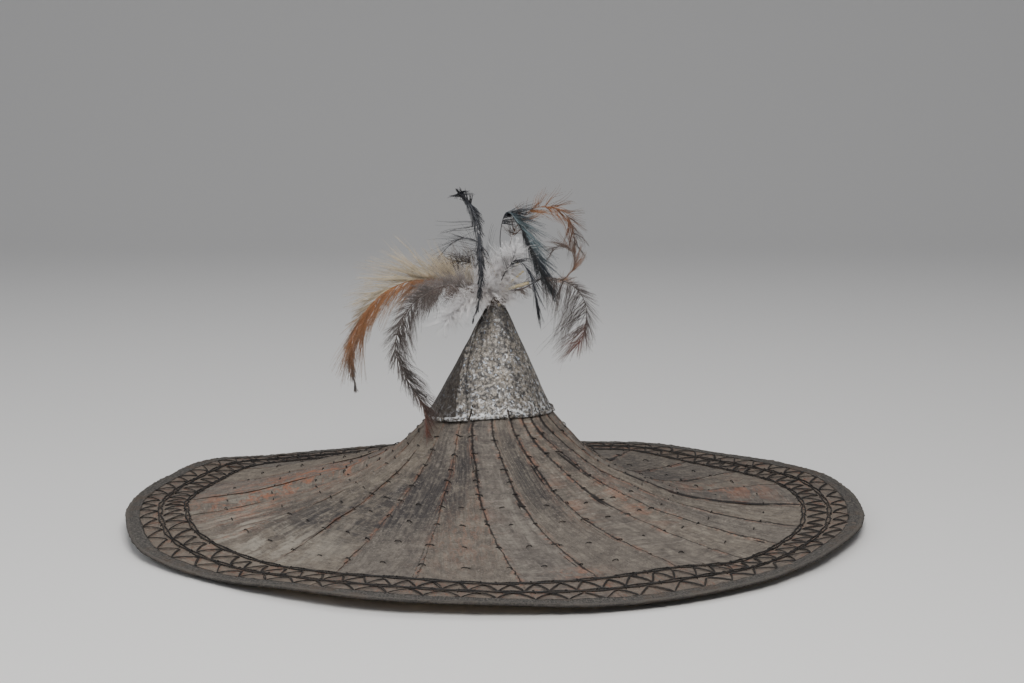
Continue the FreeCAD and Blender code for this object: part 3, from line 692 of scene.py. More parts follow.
def leaf_strip(k, look):
    """One outer leaf. Its far edge lies on the next leaf, its near edge under the one before."""
    rng = np.random.default_rng(100 + k)
    inner = np.linspace(TIP_END_RADIUS, TIP_RADIUS, TIP_ROWS, endpoint=False)
    outer = TIP_RADIUS + (LEAF_END_RADIUS - TIP_RADIUS) * np.linspace(0, 1, LEAF_ROWS - TIP_ROWS) ** 1.15
    radius = np.concatenate([inner, outer])
    wrap = 360 if k + 1 == len(SEAMS) else 0
    border, swirl, plain_here = SEAMS[k]
    next_border, next_swirl, plain_next = SEAMS[(k + 1) % len(SEAMS)]
    first = swirled(border, swirl, radius)
    second = swirled(next_border + wrap, next_swirl, radius)
    spread = np.clip((radius - 20 * MM) / (40 * MM), 0, 1)
    ragged = value_noise(rng, (LEAF_ROWS, 2), (7, 0.01))[:, 0] * 0.8 * MM
    ragged += value_noise(rng, (LEAF_ROWS, 2), (2, 0.01))[:, 1] * 0.45 * MM * (1 + (radius > 0.2))
    under = first - OVERLAP * spread / radius
    over = second + ragged * spread / radius
    share = np.linspace(0, 1, LEAF_COLUMNS)
    theta = under[:, None] + (over - under)[:, None] * share[None, :]
    rr = np.repeat(radius[:, None], LEAF_COLUMNS, 1)
    from_first = (theta - first[:, None]) * rr
    to_second = (over[:, None] - theta) * rr
    pinned = crowd(radius, STITCH_RADII, 4 * MM)[:, None]
    rise = OVERLAP_RISE * np.exp(-((to_second / (2.6 * MM)) ** 2)) * (1.25 - 0.6 * pinned)
    rise = rise * (0.1 + 0.9 * min(1.0, plain_next))
    tuck = TUCK_DEPTH * (1 - np.clip((from_first + 0.5 * MM) / (2.5 * MM), 0, 1)) * spread[:, None]
    width = (over - under)[:, None] * rr
    pleats = 6 + k % 4
    veins = 26 + 3 * (k % 5)
    wander = value_noise(rng, (LEAF_ROWS, 2), (40, 0.01))
    form = 0.20 * MM * np.cos(TAU * (pleats * share[None, :] + 0.6 * rng.random()) + 1.5 * wander[:, 1:])
    form = form + 0.08 * MM * np.cos(TAU * veins * share[None, :] + wander[:, :1])
    swell = value_noise(rng, (LEAF_ROWS, LEAF_COLUMNS), (22, 26)) * 0.60 * MM
    crumple = value_noise(rng, (LEAF_ROWS, LEAF_COLUMNS), (5, 5)) * 0.20 * MM
    ripple = tints(rr, theta)[..., 2] * value_noise(rng, (LEAF_ROWS, LEAF_COLUMNS), (12, 7)) * 0.9 * MM
    fade = np.clip((radius - 50 * MM) / (30 * MM), 0, 1)[:, None]
    calm = np.clip((radius[:, None] - 0.225) / 0.012, 0, 1)
    fade = fade * (1 - 0.65 * calm) * (1 - 0.5 * np.clip((radius[:, None] - 0.268) / 0.008, 0, 1))
    relief = (form * np.clip(width / (20 * MM), 0, 1) + swell + crumple + ripple) * fade
    relief = rise * spread[:, None] * (1 - 0.6 * calm) - tuck + np.maximum(relief, -0.75 * MM)
    relief = np.maximum(relief, DEEPEST)
    top = on_hat(rr, theta, -relief)
    bottom = on_hat(rr, theta, -relief + LEAF_SKIN * (0.35 + 0.65 * np.clip(to_second / (2 * MM), 0, 1)))
    verts, faces = slab(top, bottom)
    slant = rng.uniform(-0.3, 0.3)
    along = np.cumsum(np.concatenate([[0], np.hypot(np.diff(radius), np.diff(flare(radius)))]))
    across = (share[None, :] - 0.5) * width + slant * along[:, None] * (share[None, :] - 0.5)
    # Seams that show less plainly get up to this much added to their distance, which narrows the painted dark
    # seam line (part joint, part painted shadow)
    hidden = 2.4 * MM
    to_here = np.maximum(from_first, 0) + hidden * (1 - plain_here)
    values = {
        "leaf": table(rr.shape, across, along[:, None], 0.37 + 0.61 * k),
        "seam": table(rr.shape, to_here, to_second + hidden * (1 - plain_next), rr),
        "tint": tints(rr, theta).reshape(-1, 3),
    }
    both_faces = {key: np.tile(rows, (2, 1)) for key, rows in values.items()}
    place_piece(
        f"leaf_strip_{k + 1:02d}", f"leaf_panel_{k + 1:02d}", "palm_leaf", verts, faces, look, **both_faces
    )


def lining_strip(k, look):
    rng = np.random.default_rng(300 + k)
    rows, columns = 110, 80
    radius = np.linspace(TIP_END_RADIUS, LEAF_END_RADIUS, rows)
    first = swirled(360 / LINING_LEAVES * k, LINING_SWIRL, radius)
    second = swirled(360 / LINING_LEAVES * (k + 1), LINING_SWIRL, radius)
    gap = 0.15 * MM / radius
    share = np.linspace(0, 1, columns)[None, :]
    theta = (first + gap)[:, None] + (second - first - 2 * gap)[:, None] * share
    rr = np.repeat(radius[:, None], columns, 1)
    ribs = 0.10 * MM * np.cos(TAU * 44 * share) + 0.05 * MM * value_noise(rng, (rows, columns), (20, 4))
    ribs = ribs * np.clip(rr / (120 * MM), 0, 1)
    verts, faces = slab(on_hat(rr, theta, LINING_TOP), on_hat(rr, theta, LINING_UNDERSIDE + ribs))
    width = (second - first)[:, None] * rr
    leaf = table(rr.shape, (share - 0.5) * width, rr, 0.21 + 0.47 * k)
    place_piece(
        f"lining_strip_{k + 1}", f"lining_leaf_{k + 1:02d}", "lining_leaf", verts, faces, look,
        leaf=np.tile(leaf, (2, 1)),
    )


# ------------------------------------------------------------------ border

INNER_CORDS = (238.9 * MM, 241.2 * MM)
MIDDLE_CORDS = (258.5 * MM, 260.8 * MM)
# Inner radius, outer radius and number of points
INNER_ZIGZAG = (242.6 * MM, 257.4 * MM, 92)
OUTER_ZIGZAG = (262.0 * MM, 274.8 * MM, 72)


def couched_cords(name, node, radii, rng, look):
    """Two twisted cords side by side, held down by small stitches."""
    count = 2600
    theta = np.arange(count) / count * TAU
    parts = []
    weave = value_noise(rng, (count, 2), (30, 0.01))
    lines = 58
    for side, r in zip((-1, 1), radii):
        sway = side * 0.45 * MM * np.cos(theta * lines) + weave[:, 0] * 0.5 * MM
        lift_off = 0.85 * MM + 0.2 * MM * np.sin(theta * lines) * side
        radius = r + sway
        points = on_hat(radius, theta, -lift_off)[None]
        ups = up_from_hat(radius, theta)[None]
        parts.append(ropes(points, ups, 0.52 * MM, 2.4 * MM, closed=True, sides=8))
    middle = sum(radii) / 2
    holds = 116
    s = np.linspace(-1, 1, 9)
    angles = (np.arange(holds) + rng.uniform(-0.3, 0.3, holds)) / holds * TAU
    slant = rng.uniform(-0.4, 1.6, holds) * MM
    r = middle + s[None, :] * 2.2 * MM
    th = angles[:, None] + s[None, :] * slant[:, None] / middle
    bow = (1.0 - np.abs(s) ** 3) * 2.2 * MM - 0.5 * MM
    points = on_hat(r, th, -np.broadcast_to(bow, r.shape))
    parts.append(ropes(points, up_from_hat(r, th), 0.34 * MM, 1.6 * MM, sides=6))
    place_cord(name, node, "dark_thread", parts, look)


def zigzag_thread(name, node, inner, outer, points_count, rng, look):
    """A doubled zigzag of thread between two radii. Each leg bows a little and dives at its ends."""
    legs = 2 * points_count
    corner_theta = np.pi * np.arange(legs + 1) / points_count
    corner_theta[:-1] += rng.uniform(-1, 1, legs) * 1.3 * MM / outer
    corner_theta[-1] = corner_theta[0] + TAU
    corner_radius = np.where(np.arange(legs + 1) % 2 == 1, inner, outer)
    corner_radius[:-1] += rng.uniform(-0.9, 0.9, legs) * MM
    corner_radius[-1] = corner_radius[0]
    s = np.linspace(0, 1, 14)[None, :]
    parts = []
    slack = np.where(np.arange(legs) % 2 == 1, 1.0, 0.6)
    opening = np.sin(np.pi * np.clip(s, 0.04, 0.96)) ** 0.3
    for strand, shift in enumerate((-0.5 * MM, 0.5 * MM)):
        apart = shift * (slack * rng.uniform(0.7, 1.5, legs))[:, None] * opening
        a, b = corner_theta[:-1, None], corner_theta[1:, None]
        theta = a + (b - a) * s + apart / outer
        bend = rng.uniform(-0.7, 0.7, legs)[:, None] * MM * np.sin(np.pi * s)
        ra, rb = corner_radius[:-1, None], corner_radius[1:, None]
        radius = ra + (rb - ra) * s + bend
        dive = np.sin(np.pi * s) ** 0.3
        rise = -0.3 * MM + dive * (1.25 + 0.2 * strand) * MM + rng.uniform(0, 0.3, legs)[:, None] * MM * dive
        points = on_hat(radius, theta, -rise)
        parts.append(ropes(points, up_from_hat(radius, theta), 0.36 * MM, 2.0 * MM, sides=6))
    place_cord(name, node, "dark_thread", parts, look)


def tie_threads(look):
    """The short stitches over each seam, and halfway between seams on the brim."""
    rng = np.random.default_rng(7)
    radii, angles = [], []
    for k, (border, swirl, _) in enumerate(SEAMS):
        following = SEAMS[(k + 1) % len(SEAMS)][:2]
        for r in STITCH_RADII:
            here = float(swirled(border, swirl, r))
            radii.append(r)
            angles.append(here)
            if r > HALFWAY_FROM:
                gap = (float(swirled(*following, r)) - here) % TAU
                radii.append(r)
                angles.append(here + gap / 2)
    n = len(radii)
    radii = np.array(radii) + rng.uniform(-2.0, 2.0, n) * MM
    angles = np.array(angles) + rng.uniform(-1.2, 1.2, n) * MM / radii
    length = rng.uniform(3.6, 6.4, n) * MM
    slant = rng.uniform(-0.3, 0.3, n)
    s = np.linspace(-1, 1, 13)[None, :]
    theta = angles[:, None] + s * (length / 2 / radii)[:, None]
    r = radii[:, None] + s * (slant * length / 2)[:, None]
    r = r + 0.5 * MM * (1 - s**2) * rng.uniform(-1, 1, n)[:, None]
    rise = -0.6 * MM + (1 - np.abs(s) ** 4) * (1.25 + rng.uniform(0, 0.45, n)[:, None]) * MM
    points = on_hat(r, theta, -rise)
    parts = [ropes(points, up_from_hat(r, theta), 0.43 * MM, 1.8 * MM, sides=6)]
    tails = 36
    loose = rng.choice(n, tails, replace=False)
    t = np.linspace(0, 1, 10)[None, :]
    turn = rng.uniform(-1.3, 1.3, tails)[:, None]
    start = theta[loose, -2][:, None]
    tail = rng.uniform(1.2, 2.6, tails)[:, None] * MM
    th = start + tail * t * np.cos(turn * t) / radii[loose][:, None]
    rt = r[loose, -2][:, None] + tail * t * np.sin(turn * t)
    lift_off = 0.35 * MM + 0.5 * MM * np.sin(np.pi * t * 0.9)
    points = on_hat(rt, th, -np.broadcast_to(lift_off, th.shape))
    parts.append(ropes(points, up_from_hat(rt, th), 0.28 * MM, 1.5 * MM, sides=6))
    place_cord("tie_threads", "seam_stitches", "dark_thread", parts, look)


def brim_edging(look):
    """The strip folded round the brim's edge, puckered, with an uneven lip."""
    rng = np.random.default_rng(21)
    count = 1800
    theta = np.arange(count) / count * TAU
    inside = [(-10.7, -0.08), (-3.4, -0.08), (-1.7, -0.21), (-0.5, 0.0), (-0.3, 0.83),
              (-0.5, 1.5), (-1.7, 1.87), (-3.4, 1.68), (-10.7, 1.68)]
    outside = [(-11.0, 1.82), (-7.2, 1.84), (-3.4, 1.86), (-1.7, 2.05), (-0.6, 1.8), (0.05, 1.4),
               (0.3, 0.83), (0.05, 0.1), (-0.6, -0.35), (-1.7, -0.5), (-3.0, -0.4),
               (-4.6, -0.38), (-6.2, -0.36), (-7.8, -0.36), (-9.4, -0.35), (-11.0, -0.32)]
    section = np.array(inside + outside) * MM
    moving = len(inside)
    k = len(section)
    wide = value_noise(rng, (count, k), (40, 1.2))
    fine = value_noise(rng, (count, k), (4, 1.0))
    scallop = value_noise(rng, (count, 2), (26, 0.01))
    along_edge = np.broadcast_to(section[None, :, 0], (count, k)).copy()
    depth = np.broadcast_to(section[None, :, 1], (count, k)).copy()
    outward = np.concatenate([np.zeros(moving), np.ones(k - moving)])[None, :]
    low_side = depth > RIM_MIDDLE
    rough = value_noise(rng, (count, k), (1.6, 0.7))
    swell = (0.30 * wide + 0.26 * fine + 0.20 * rough) * MM * outward
    swell = np.where(low_side & (swell > 0), swell * 0.15, np.maximum(swell, -0.12 * MM))
    depth = depth + np.sign(depth - RIM_MIDDLE) * swell
    on_edge = np.clip((section[None, :, 0] + 2.5 * MM) / (3 * MM), 0, 1)
    along_edge = along_edge + on_edge * outward * (0.7 * scallop[:, :1] + 0.45 * fine + 0.3 * rough) * MM
    inner_edge = np.abs(section[None, :, 0] + 11.0 * MM) < 0.4 * MM
    along_edge = along_edge + inner_edge * (scallop[:, 1:] * 0.8 + fine[:, :1] * 0.4) * MM
    points = on_hat(BRIM_RADIUS + along_edge, theta[:, None], depth)
    quads = ring_faces(np.arange(count * k).reshape(count, k))
    across = np.concatenate([np.linspace(0, 1, moving), np.linspace(1, 0, k - moving)])
    strip = table((count, k), (theta * BRIM_RADIUS)[:, None], across, outward)
    points = points.reshape(-1, 3)
    place_piece("brim_edging", "rim_binding", "binding_strip", points, quads, look, strip=strip)


# ------------------------------------------------------------------ under the hat

CROWN_HOOP_RADII = tuple(r * MM for r in (57, 69.5, 80.5, 103, 118))
BRIM_HOOP_RADII = tuple(r * MM for r in (141, 175, 210))
CANE_DEPTH = 1.80 * MM  # of the hoops' flat faces, which lie under the lining
TIE_CIRCLE = 88.0 * MM
TIE_COUNT = 12


def cane_hoops(name, node, radii, rng, look):
    """Split canes, flat on top, with their joints, each lapped over itself."""
    count = 900
    theta = np.arange(count) / count * TAU
    parts = []
    for r in radii:
        joint = crowd(theta % (TAU / 5), [rng.random()], 0.02)
        wobble = value_noise(rng, (count, 2), (80, 0.01))[:, 0] * 0.25 * MM
        half = (1.75 + 0.15 * joint) * MM
        turn = np.linspace(0, math.pi, 9)
        bow = np.stack([-np.cos(turn), -np.sin(turn)], -1)
        section = np.concatenate([bow, [[0.6, 0.0], [0.0, 0.0], [-0.6, 0.0]]])
        shape = section[None] * np.stack([half, (1.9 + 0.2 * joint) * MM], -1)[:, None, :]
        points = on_hat(r + wobble, theta, CANE_DEPTH)[None]
        ups = up_from_hat(r + wobble, theta)[None]
        verts, faces = sweep(points, *loop_frames(points, ups), shape[None], closed=True)
        k = len(section)
        parts.append((verts, faces, table((count, k), (theta * r)[:, None], np.arange(k) / k, r * 31)))
    place_cord(name, node, "cane", parts, look)


def head_band(look):
    """A band of woven cane strips: two flat cane hoops with a third plaited over them."""
    radius = (RING_HIGH.x - RING_LOW.x) / 2
    inner = radius - 3.0 * MM
    middle = (inner + radius) / 2
    count, rows, crossings = 480, 22, 14
    theta = (np.arange(count) / count * TAU)[:, None]
    t = np.linspace(0, 1, rows)[None, :]
    plait = np.abs(np.sin(crossings * theta + 3.0 * t)) ** 0.6
    plait = np.minimum(plait, np.abs(np.sin(-crossings * theta + 3.0 * t + 0.4)) ** 0.6 + 0.25)
    tall = RING_HIGH.z - RING_LOW.z
    soften = 0.35 + 0.65 * np.clip(np.minimum(t, 1 - t) * tall / (1.6 * MM), 0, 1) ** 0.5
    outer_r = middle + (radius - 0.7 * MM + 0.7 * MM * plait - middle) * soften
    inner_r = middle + (inner + 0.25 * MM - 0.25 * MM * plait - middle) * soften
    ring = np.concatenate([outer_r, inner_r[:, ::-1]], 1)
    z = RING_LOW.z + tall * np.concatenate([t, t[:, ::-1]], 1)
    points = table(ring.shape, ring * np.cos(theta), ring * np.sin(theta), z)
    k = ring.shape[1]
    index = np.arange(count * k).reshape(count, k)
    ahead = np.roll(index, -1, 0)
    quads = np.stack([index, ahead, np.roll(ahead, -1, 1), np.roll(index, -1, 1)], -1).reshape(-1, 4)
    values = table(ring.shape, theta * radius, np.arange(k) / k, 0.4)
    place_cord("head_band", "head_ring", "rattan_ring", [(points, quads.tolist(), values)], look)


def head_band_ties(look):
    """Twisted cords that hang the head band from the lining, each knotted below."""
    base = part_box("head_ring_ties")[0].z
    parts = []
    s = np.linspace(0, 1, 40)
    for k in range(TIE_COUNT):
        th = TAU * (k + 0.5) / TIE_COUNT
        out = np.array([math.cos(th), math.sin(th), 0.0])
        round_it = np.array([-math.sin(th), math.cos(th), 0.0])
        top = float(on_hat(TIE_CIRCLE, th, 2.55 * MM)[2])
        twirl = 0.5 * MM * np.sin(9 * s + k)
        points = out * TIE_CIRCLE + round_it * twirl[:, None]
        points[:, 2] = base + (top - base) * s
        ups = np.broadcast_to(out, points.shape)
        parts.append(ropes(points[None], ups[None], 0.8 * MM, 3.0 * MM, sides=8))
        turn = s * TAU * 1.6
        knot = out * TIE_CIRCLE + np.outer(np.cos(turn), round_it) * 1.5 * MM
        knot = knot + np.outer(np.sin(turn), out) * 0.5 * MM
        knot[:, 2] = base + 1.2 * MM + s * 2.4 * MM
        parts.append(ropes(knot[None], np.tile([0.0, 0.0, 1.0], (1, 40, 1)), 0.6 * MM, 2.4 * MM, sides=7))
    place_cord("head_band_ties", "head_ring_ties", "cord", parts, look)


# ------------------------------------------------------------------ metal cap

CAP_BOTTOM = CAP_LOW.z
CAP_TOP = CAP_HIGH.z
CAP_TOP_RADIUS = 6.8 * MM
CAP_SLOPE = 0.49
CAP_SKIRT_HEIGHT = 9.0 * MM
CAP_SKIRT_FLARE = 1.4 * MM
CAP_SLITS = (-150, -111, -74, -41, -5, 32, 68, 105, 142, 178)
CAP_SHEET = 0.6 * MM
CAP_BULGE = 1.8 * MM  # of the hem towards the wearer's right


def cap_radius(z):
    down = np.maximum(0.0, CAP_BOTTOM + CAP_SKIRT_HEIGHT - z) / CAP_SKIRT_HEIGHT
    return CAP_TOP_RADIUS + (CAP_TOP - z) * CAP_SLOPE + CAP_SKIRT_FLARE * down**2


def on_cap(radius, theta, z):
    """Points round the cap's leaning centre line."""
    centre = -CROWN_LEAN * (CAP_TOP - z) / (CAP_TOP - CAP_BOTTOM)
    return np.stack([radius * np.cos(theta) + centre, radius * np.sin(theta), z], -1)


def cap_hem(theta):
    """Height of the cap's lower edge: it hangs lower at the wearer's right and rises in front."""
    return CAP_BOTTOM + periodic((2.0, 0.5, -0.5, -1.0, -2.6, -0.5, 3.4, 3.0), theta)


def cap_lap_azimuth(share):
    """The lapped edge wanders from one side at the top to the front at the hem."""
    return np.radians(248 - 52 * share**1.2)


def cap_tabs(theta):
    """Which tab of the skirt an azimuth is on, and how far that tab springs out."""
    slit_at = np.array(sorted(a % 360 for a in CAP_SLITS), float)
    tab = np.searchsorted(slit_at, np.degrees(theta) % 360)
    spring = np.array([0.5, -0.2, 0.3, 0.0, 0.4, -0.2, 0.3, 0.1, 0.4, 0.0, 0.5])[tab] * MM
    return slit_at, tab, spring


def tin_cone(look):
    """One sheet wound to a cone. Its far edge laps over its near one; the skirt is slit into
    tabs, each a little over or under its neighbour, with the hem folded up inside out."""
    rng = np.random.default_rng(31)
    turn_count, rows = 520, 84
    lap = math.radians(16)
    s = np.linspace(0, TAU + lap, turn_count)[:, None]
    t = np.linspace(0, 1, rows)[None, :]
    theta = cap_lap_azimuth(t) - TAU - lap + s
    bottom = cap_hem(theta)
    z = bottom + (CAP_TOP - bottom) * t
    radius = cap_radius(z) + MM * ease((s - (TAU - math.radians(10))) / math.radians(12))
    radius = radius - 0.75 * MM * np.clip(1 - s / math.radians(26), 0, 1)
    dents = value_noise(rng, (turn_count, rows), (41, 14)) * 0.5 * MM
    pits = value_noise(rng, (turn_count, rows), (3.5, 2.5)) * 0.12 * MM
    facets = 0.4 * MM * np.cos(theta * 7 + 0.5)
    mid = np.clip(4 * t * (1 - t), 0, 1) ** 0.5
    slit_at, tab, spring = cap_tabs(theta)
    skirt = np.clip(1 - (z - bottom) / (10 * MM), 0, 1)
    bulge = CAP_BULGE * np.clip(-np.cos(theta), 0, 1) * (1 - t)
    radius = radius + (dents + facets) * mid + pits + spring * skirt**1.5 + bulge
    outer = on_cap(radius, theta, z)
    inner = on_cap(radius - CAP_SHEET, theta, z)
    gap = np.abs((np.degrees(theta)[..., None] % 360 - slit_at + 180) % 360 - 180).min(-1)
    slit_tall = (7.5 + 3.0 * np.sin(tab * 2.3)) * MM
    slit_wide = np.degrees(0.5 * MM * np.clip(1.15 - (z - bottom) / slit_tall, 0, 1) / radius)
    cut = (gap < slit_wide) & (z - bottom < slit_tall)
    offset = turn_count * rows
    index = np.arange(offset).reshape(turn_count, rows)
    a = np.stack([index[:-1, :-1], index[1:, :-1], index[1:, 1:], index[:-1, 1:]], -1)
    keep = ~(cut[:-1, :-1] | cut[1:, :-1] | cut[1:, 1:] | cut[:-1, 1:])
    faces = np.concatenate([a[keep], a[keep][:, ::-1] + offset]).tolist()
    walls = {}
    for quad in a[keep].tolist():
        for i in range(4):
            edge = (quad[i], quad[(i + 1) % 4])
            if edge[::-1] in walls:
                del walls[edge[::-1]]
            else:
                walls[edge] = True
    faces += [[q, p, p + offset, q + offset] for p, q in walls]
    points = np.concatenate([outer.reshape(-1, 3), inner.reshape(-1, 3)])
    sheet = np.tile(table(theta.shape, s / (TAU + lap), t, 0.0), (2, 1))
    used = np.unique(np.array(faces))
    renumber = np.zeros(len(points), int)
    renumber[used] = np.arange(len(used))
    parts = [(points[used], renumber[np.array(faces)].tolist(), sheet[used])]
    # the folded hem on every tab
    for k, left in enumerate(slit_at):
        right = slit_at[(k + 1) % len(slit_at)] + (360 if k + 1 == len(slit_at) else 0)
        th = np.radians(np.linspace(left + 1.0, right - 1.0, 46))
        zb = cap_hem(th) + 1.1 * MM
        wobble = value_noise(rng, (46, 2), (8, 0.01)) * 0.3 * MM
        r = cap_radius(zb) + cap_tabs(th)[2] + 0.35 * MM + wobble[:, 0]
        r = r + CAP_BULGE * np.clip(-np.cos(th), 0, 1)
        hem = on_cap(r, th, zb + wobble[:, 1])[None]
        ups = np.tile([0.0, 0.0, 1.0], (1, 46, 1))
        frames = path_frames(hem, np.cross(ups, np.gradient(hem, axis=1)))
        hem_points, hem_faces = sweep(hem, *frames, circle(10) * (0.45, 1.6) * MM)
        parts.append((hem_points, hem_faces, np.tile([0.3, 0.03, 0.0], (len(hem_points), 1))))
    verts, faces, values = join(parts)
    place_piece("tin_cone", "metal_cap", "tin_sheet", verts, faces, look, sheet=values)


def cap_threads(look):
    """Threads through the skirt: hooked over its hem beside each slit."""
    rng = np.random.default_rng(33)
    parts = []
    s = np.linspace(0, 1, 22)
    for azimuth in CAP_SLITS:
        th = math.radians(azimuth + 2.2) + 0.02 * np.sin(3 * s) * rng.uniform(-1, 1)
        hem = cap_hem(th)
        z = hem + (4.6 - 5.4 * s) * MM
        r = cap_radius(z) + (1.0 + 0.3 * np.sin(np.pi * s) - 1.9 * (np.abs(2 * s - 1) > 0.92)) * MM
        points = on_cap(r, th, z)[None]
        ups = np.stack([np.cos(th), np.sin(th), 0 * th], -1)[None]
        parts.append(ropes(points, ups, 0.33 * MM, 2.0 * MM, sides=7))
        turn = s * TAU * 1.5
        here = math.radians(azimuth + 2.2)
        out = np.array([math.cos(here), math.sin(here), 0.0])
        round_it = np.array([-math.sin(here), math.cos(here), 0.0])
        centre = out * (cap_radius(hem[0] + 4 * MM) + 0.8 * MM)
        knot = centre + np.outer(np.cos(turn), round_it) * 0.6 * MM + np.outer(np.sin(turn), out) * 0.3 * MM
        knot[:, 2] = hem[0] + 4.2 * MM + s * 0.7 * MM
        knot[:, 0] -= CROWN_LEAN
        parts.append(ropes(knot[None], np.tile([0.0, 0.0, 1.0], (1, 22, 1)), 0.28 * MM, 2.0 * MM, sides=6))
    place_cord("cap_threads", "cap_stitches", "dark_thread", parts, look)


# ------------------------------------------------------------------ plume

QUILL_CIRCLE = 4.6
QUILL_PLACES = 14
QUILL_BOTTOM = 153.0
QUILL_FREE = 168.0


def quill_line(place, points):
    """A shaft's points, from its quill in the binding, in metres in the frame."""
    th = TAU * place / QUILL_PLACES
    x, y = QUILL_CIRCLE * math.cos(th), QUILL_CIRCLE * math.sin(th)
    line = np.array([(x, y, QUILL_BOTTOM), (x, y, QUILL_FREE), *points], float) * MM
    line[:, 2] += LIFT
    return line


def carried_side(line, across):
    """The direction across the vane, carried along the shaft without twist."""
    tangent = unit(np.gradient(line, axis=0))
    side = np.zeros_like(line)
    current = np.array(across, float)
    for i, t in enumerate(tangent):
        current = current - t * current.dot(t)
        current /= np.linalg.norm(current)
        side[i] = current
    return tangent, side, np.cross(tangent, side)


def strand_tubes(points, hint, radii, values):
    """Tapered three-sided strands. points is (n, s, 3), radii (s,) and values (n, 2)."""
    verts, faces = sweep(points, *path_frames(points, hint), circle(3) * radii[None, :, None, None])
    n, s = points.shape[:2]
    first, second = values[:, 0, None, None], values[:, 1, None, None]
    return verts, faces, table((n, s, 3), first, np.linspace(0, 1, s)[None, :, None], second)


def vane(line, across, side_sign, plan, rng):
    """The barbs of one side of a feather, as plan describes. They cling together in bunches
    towards their tips."""
    count = plan["count"]
    low, high = plan.get("span", (0.2, 0.99))
    bunches = max(3, int(count / plan.get("bunch", 4)))
    middle = np.sort(rng.uniform(low, high, bunches))
    member = np.sort(rng.integers(0, bunches, count))
    near = 0.6 * (high - low) / bunches
    t = np.clip(middle[member] + rng.normal(0, near, count), low, high)
    tangent, side, normal = carried_side(line, across)

    def grown(t, rows):
        """Points along barbs that start at shares t of the shaft."""
        place = t * (len(line) - 1)
        i = np.minimum(place.astype(int), len(line) - 2)
        f = (place - i)[:, None]
        rails = (line, tangent, side, normal)
        base, along, sideways, square = (v[i] * (1 - f) + v[i + 1] * f for v in rails)
        q = (t - low) / (high - low)
        length = (np.interp(q, *zip(*plan["length"])) * MM * rows["size"])[:, None, None]
        angle = np.radians(np.interp(q, *zip(*plan["angle"])) + rows["turn"])[:, None]
        start = along * np.cos(angle) + sideways * (side_sign * np.sin(angle)) + square * rows["out"]
        start = unit(start)
        s = np.linspace(0, 1, plan.get("steps", 9))[None, :, None]
        bend = plan.get("bend", 0.35) * along[:, None] + np.array(plan.get("pull", (0, 0, -0.15)))[None, None]
        points = base[:, None] + length * (s * start[:, None] + s**2 * (bend + rows["stray"]) * 0.6)
        waves = np.sin(rows["speed"] * s + rows["phase"]) - np.sin(rows["phase"])
        return points + length * plan.get("curl", 0.02) * s * waves, unit(square), s

    shared = {
        "size": rng.uniform(1 - plan.get("uneven", 0.25), 1.12, bunches),
        "turn": rng.normal(0, plan.get("spread", 7), bunches),
        "out": rng.normal(0, plan.get("lift", 0.14), (bunches, 1)),
        "stray": rng.normal(0, plan.get("stray", 0.14), (bunches, 1, 3)),
        "speed": rng.uniform(3, 8, (bunches, 1, 3)),
        "phase": rng.uniform(0, TAU, (bunches, 1, 3)),
    }
    own = {key: values[member] for key, values in shared.items()}
    own["size"] = own["size"] * rng.uniform(0.75, 1.0, count)
    own["turn"] = own["turn"] + rng.normal(0, 0.4 * plan.get("spread", 7), count)
    own["out"] = own["out"] + rng.normal(0, 0.05, (count, 1))
    own["stray"] = own["stray"] + rng.normal(0, 0.05, (count, 1, 3))
    points, square, s = grown(t, own)
    leader = grown(middle, shared)[0][member]
    cling = plan.get("cling", 0.5) * rng.uniform(0.4, 1.0, count)[:, None, None]
    points = points + (leader - points) * cling * s**0.9
    radii = plan.get("thick", 0.12) * MM * (1 - 0.7 * s[0, :, 0] ** 1.3)
    hint = np.broadcast_to(square[:, None], points.shape)
    number = rng.random(count) * 0.98 + (side_sign < 0)
    return strand_tubes(points, hint, radii, np.stack([t, number], -1))


def shaft(line, across, thick, tip):
    """The central quill and rachis."""
    tangent, side, up = carried_side(line, across)
    t = np.linspace(0, 1, len(line))
    radius = (thick + (tip - thick) * t**0.7) * MM
    section = circle(8) * (1.0, 0.85) * radius[None, :, None, None]
    verts, faces = sweep(line[None], side[None], up[None], section)
    return verts, faces, table((len(line), 8), t[:, None], 0.0, 0.15)


def plume_piece(name, node, slot_name, place_points, across, plans, look, seed, thick=0.6):
    rng = np.random.default_rng(seed)
    line = smooth_line(quill_line(*place_points), 110)
    parts = [shaft(line, across, thick, 0.14)]
    for sign, plan in plans:
        parts.append(vane(line, across, sign, plan, rng))
    verts, faces, values = join(parts)
    place_piece(name, node, slot_name, verts, faces, look, strand=values)


def steady(length, angle, count, **more):
    """A plan for barbs whose length and angle are given at shares of the vane."""
    return {"length": length, "angle": angle, "count": count, **more}


def fluff(length, count, span, **more):
    """Soft curly barbs round the foot of a feather."""
    settings = {"curl": 0.16, "spread": 34, "lift": 0.6, "stray": 0.4, "pull": (0, 0, -0.05), "thick": 0.12,
                "bunch": 4, "cling": 0.5, "uneven": 0.5, "steps": 10, **more}
    return steady(((0, length), (1, length * 0.9)), ((0, 85), (1, 50)), count, span=span, **settings)


def both(plan):
    return ((1, plan), (-1, plan))


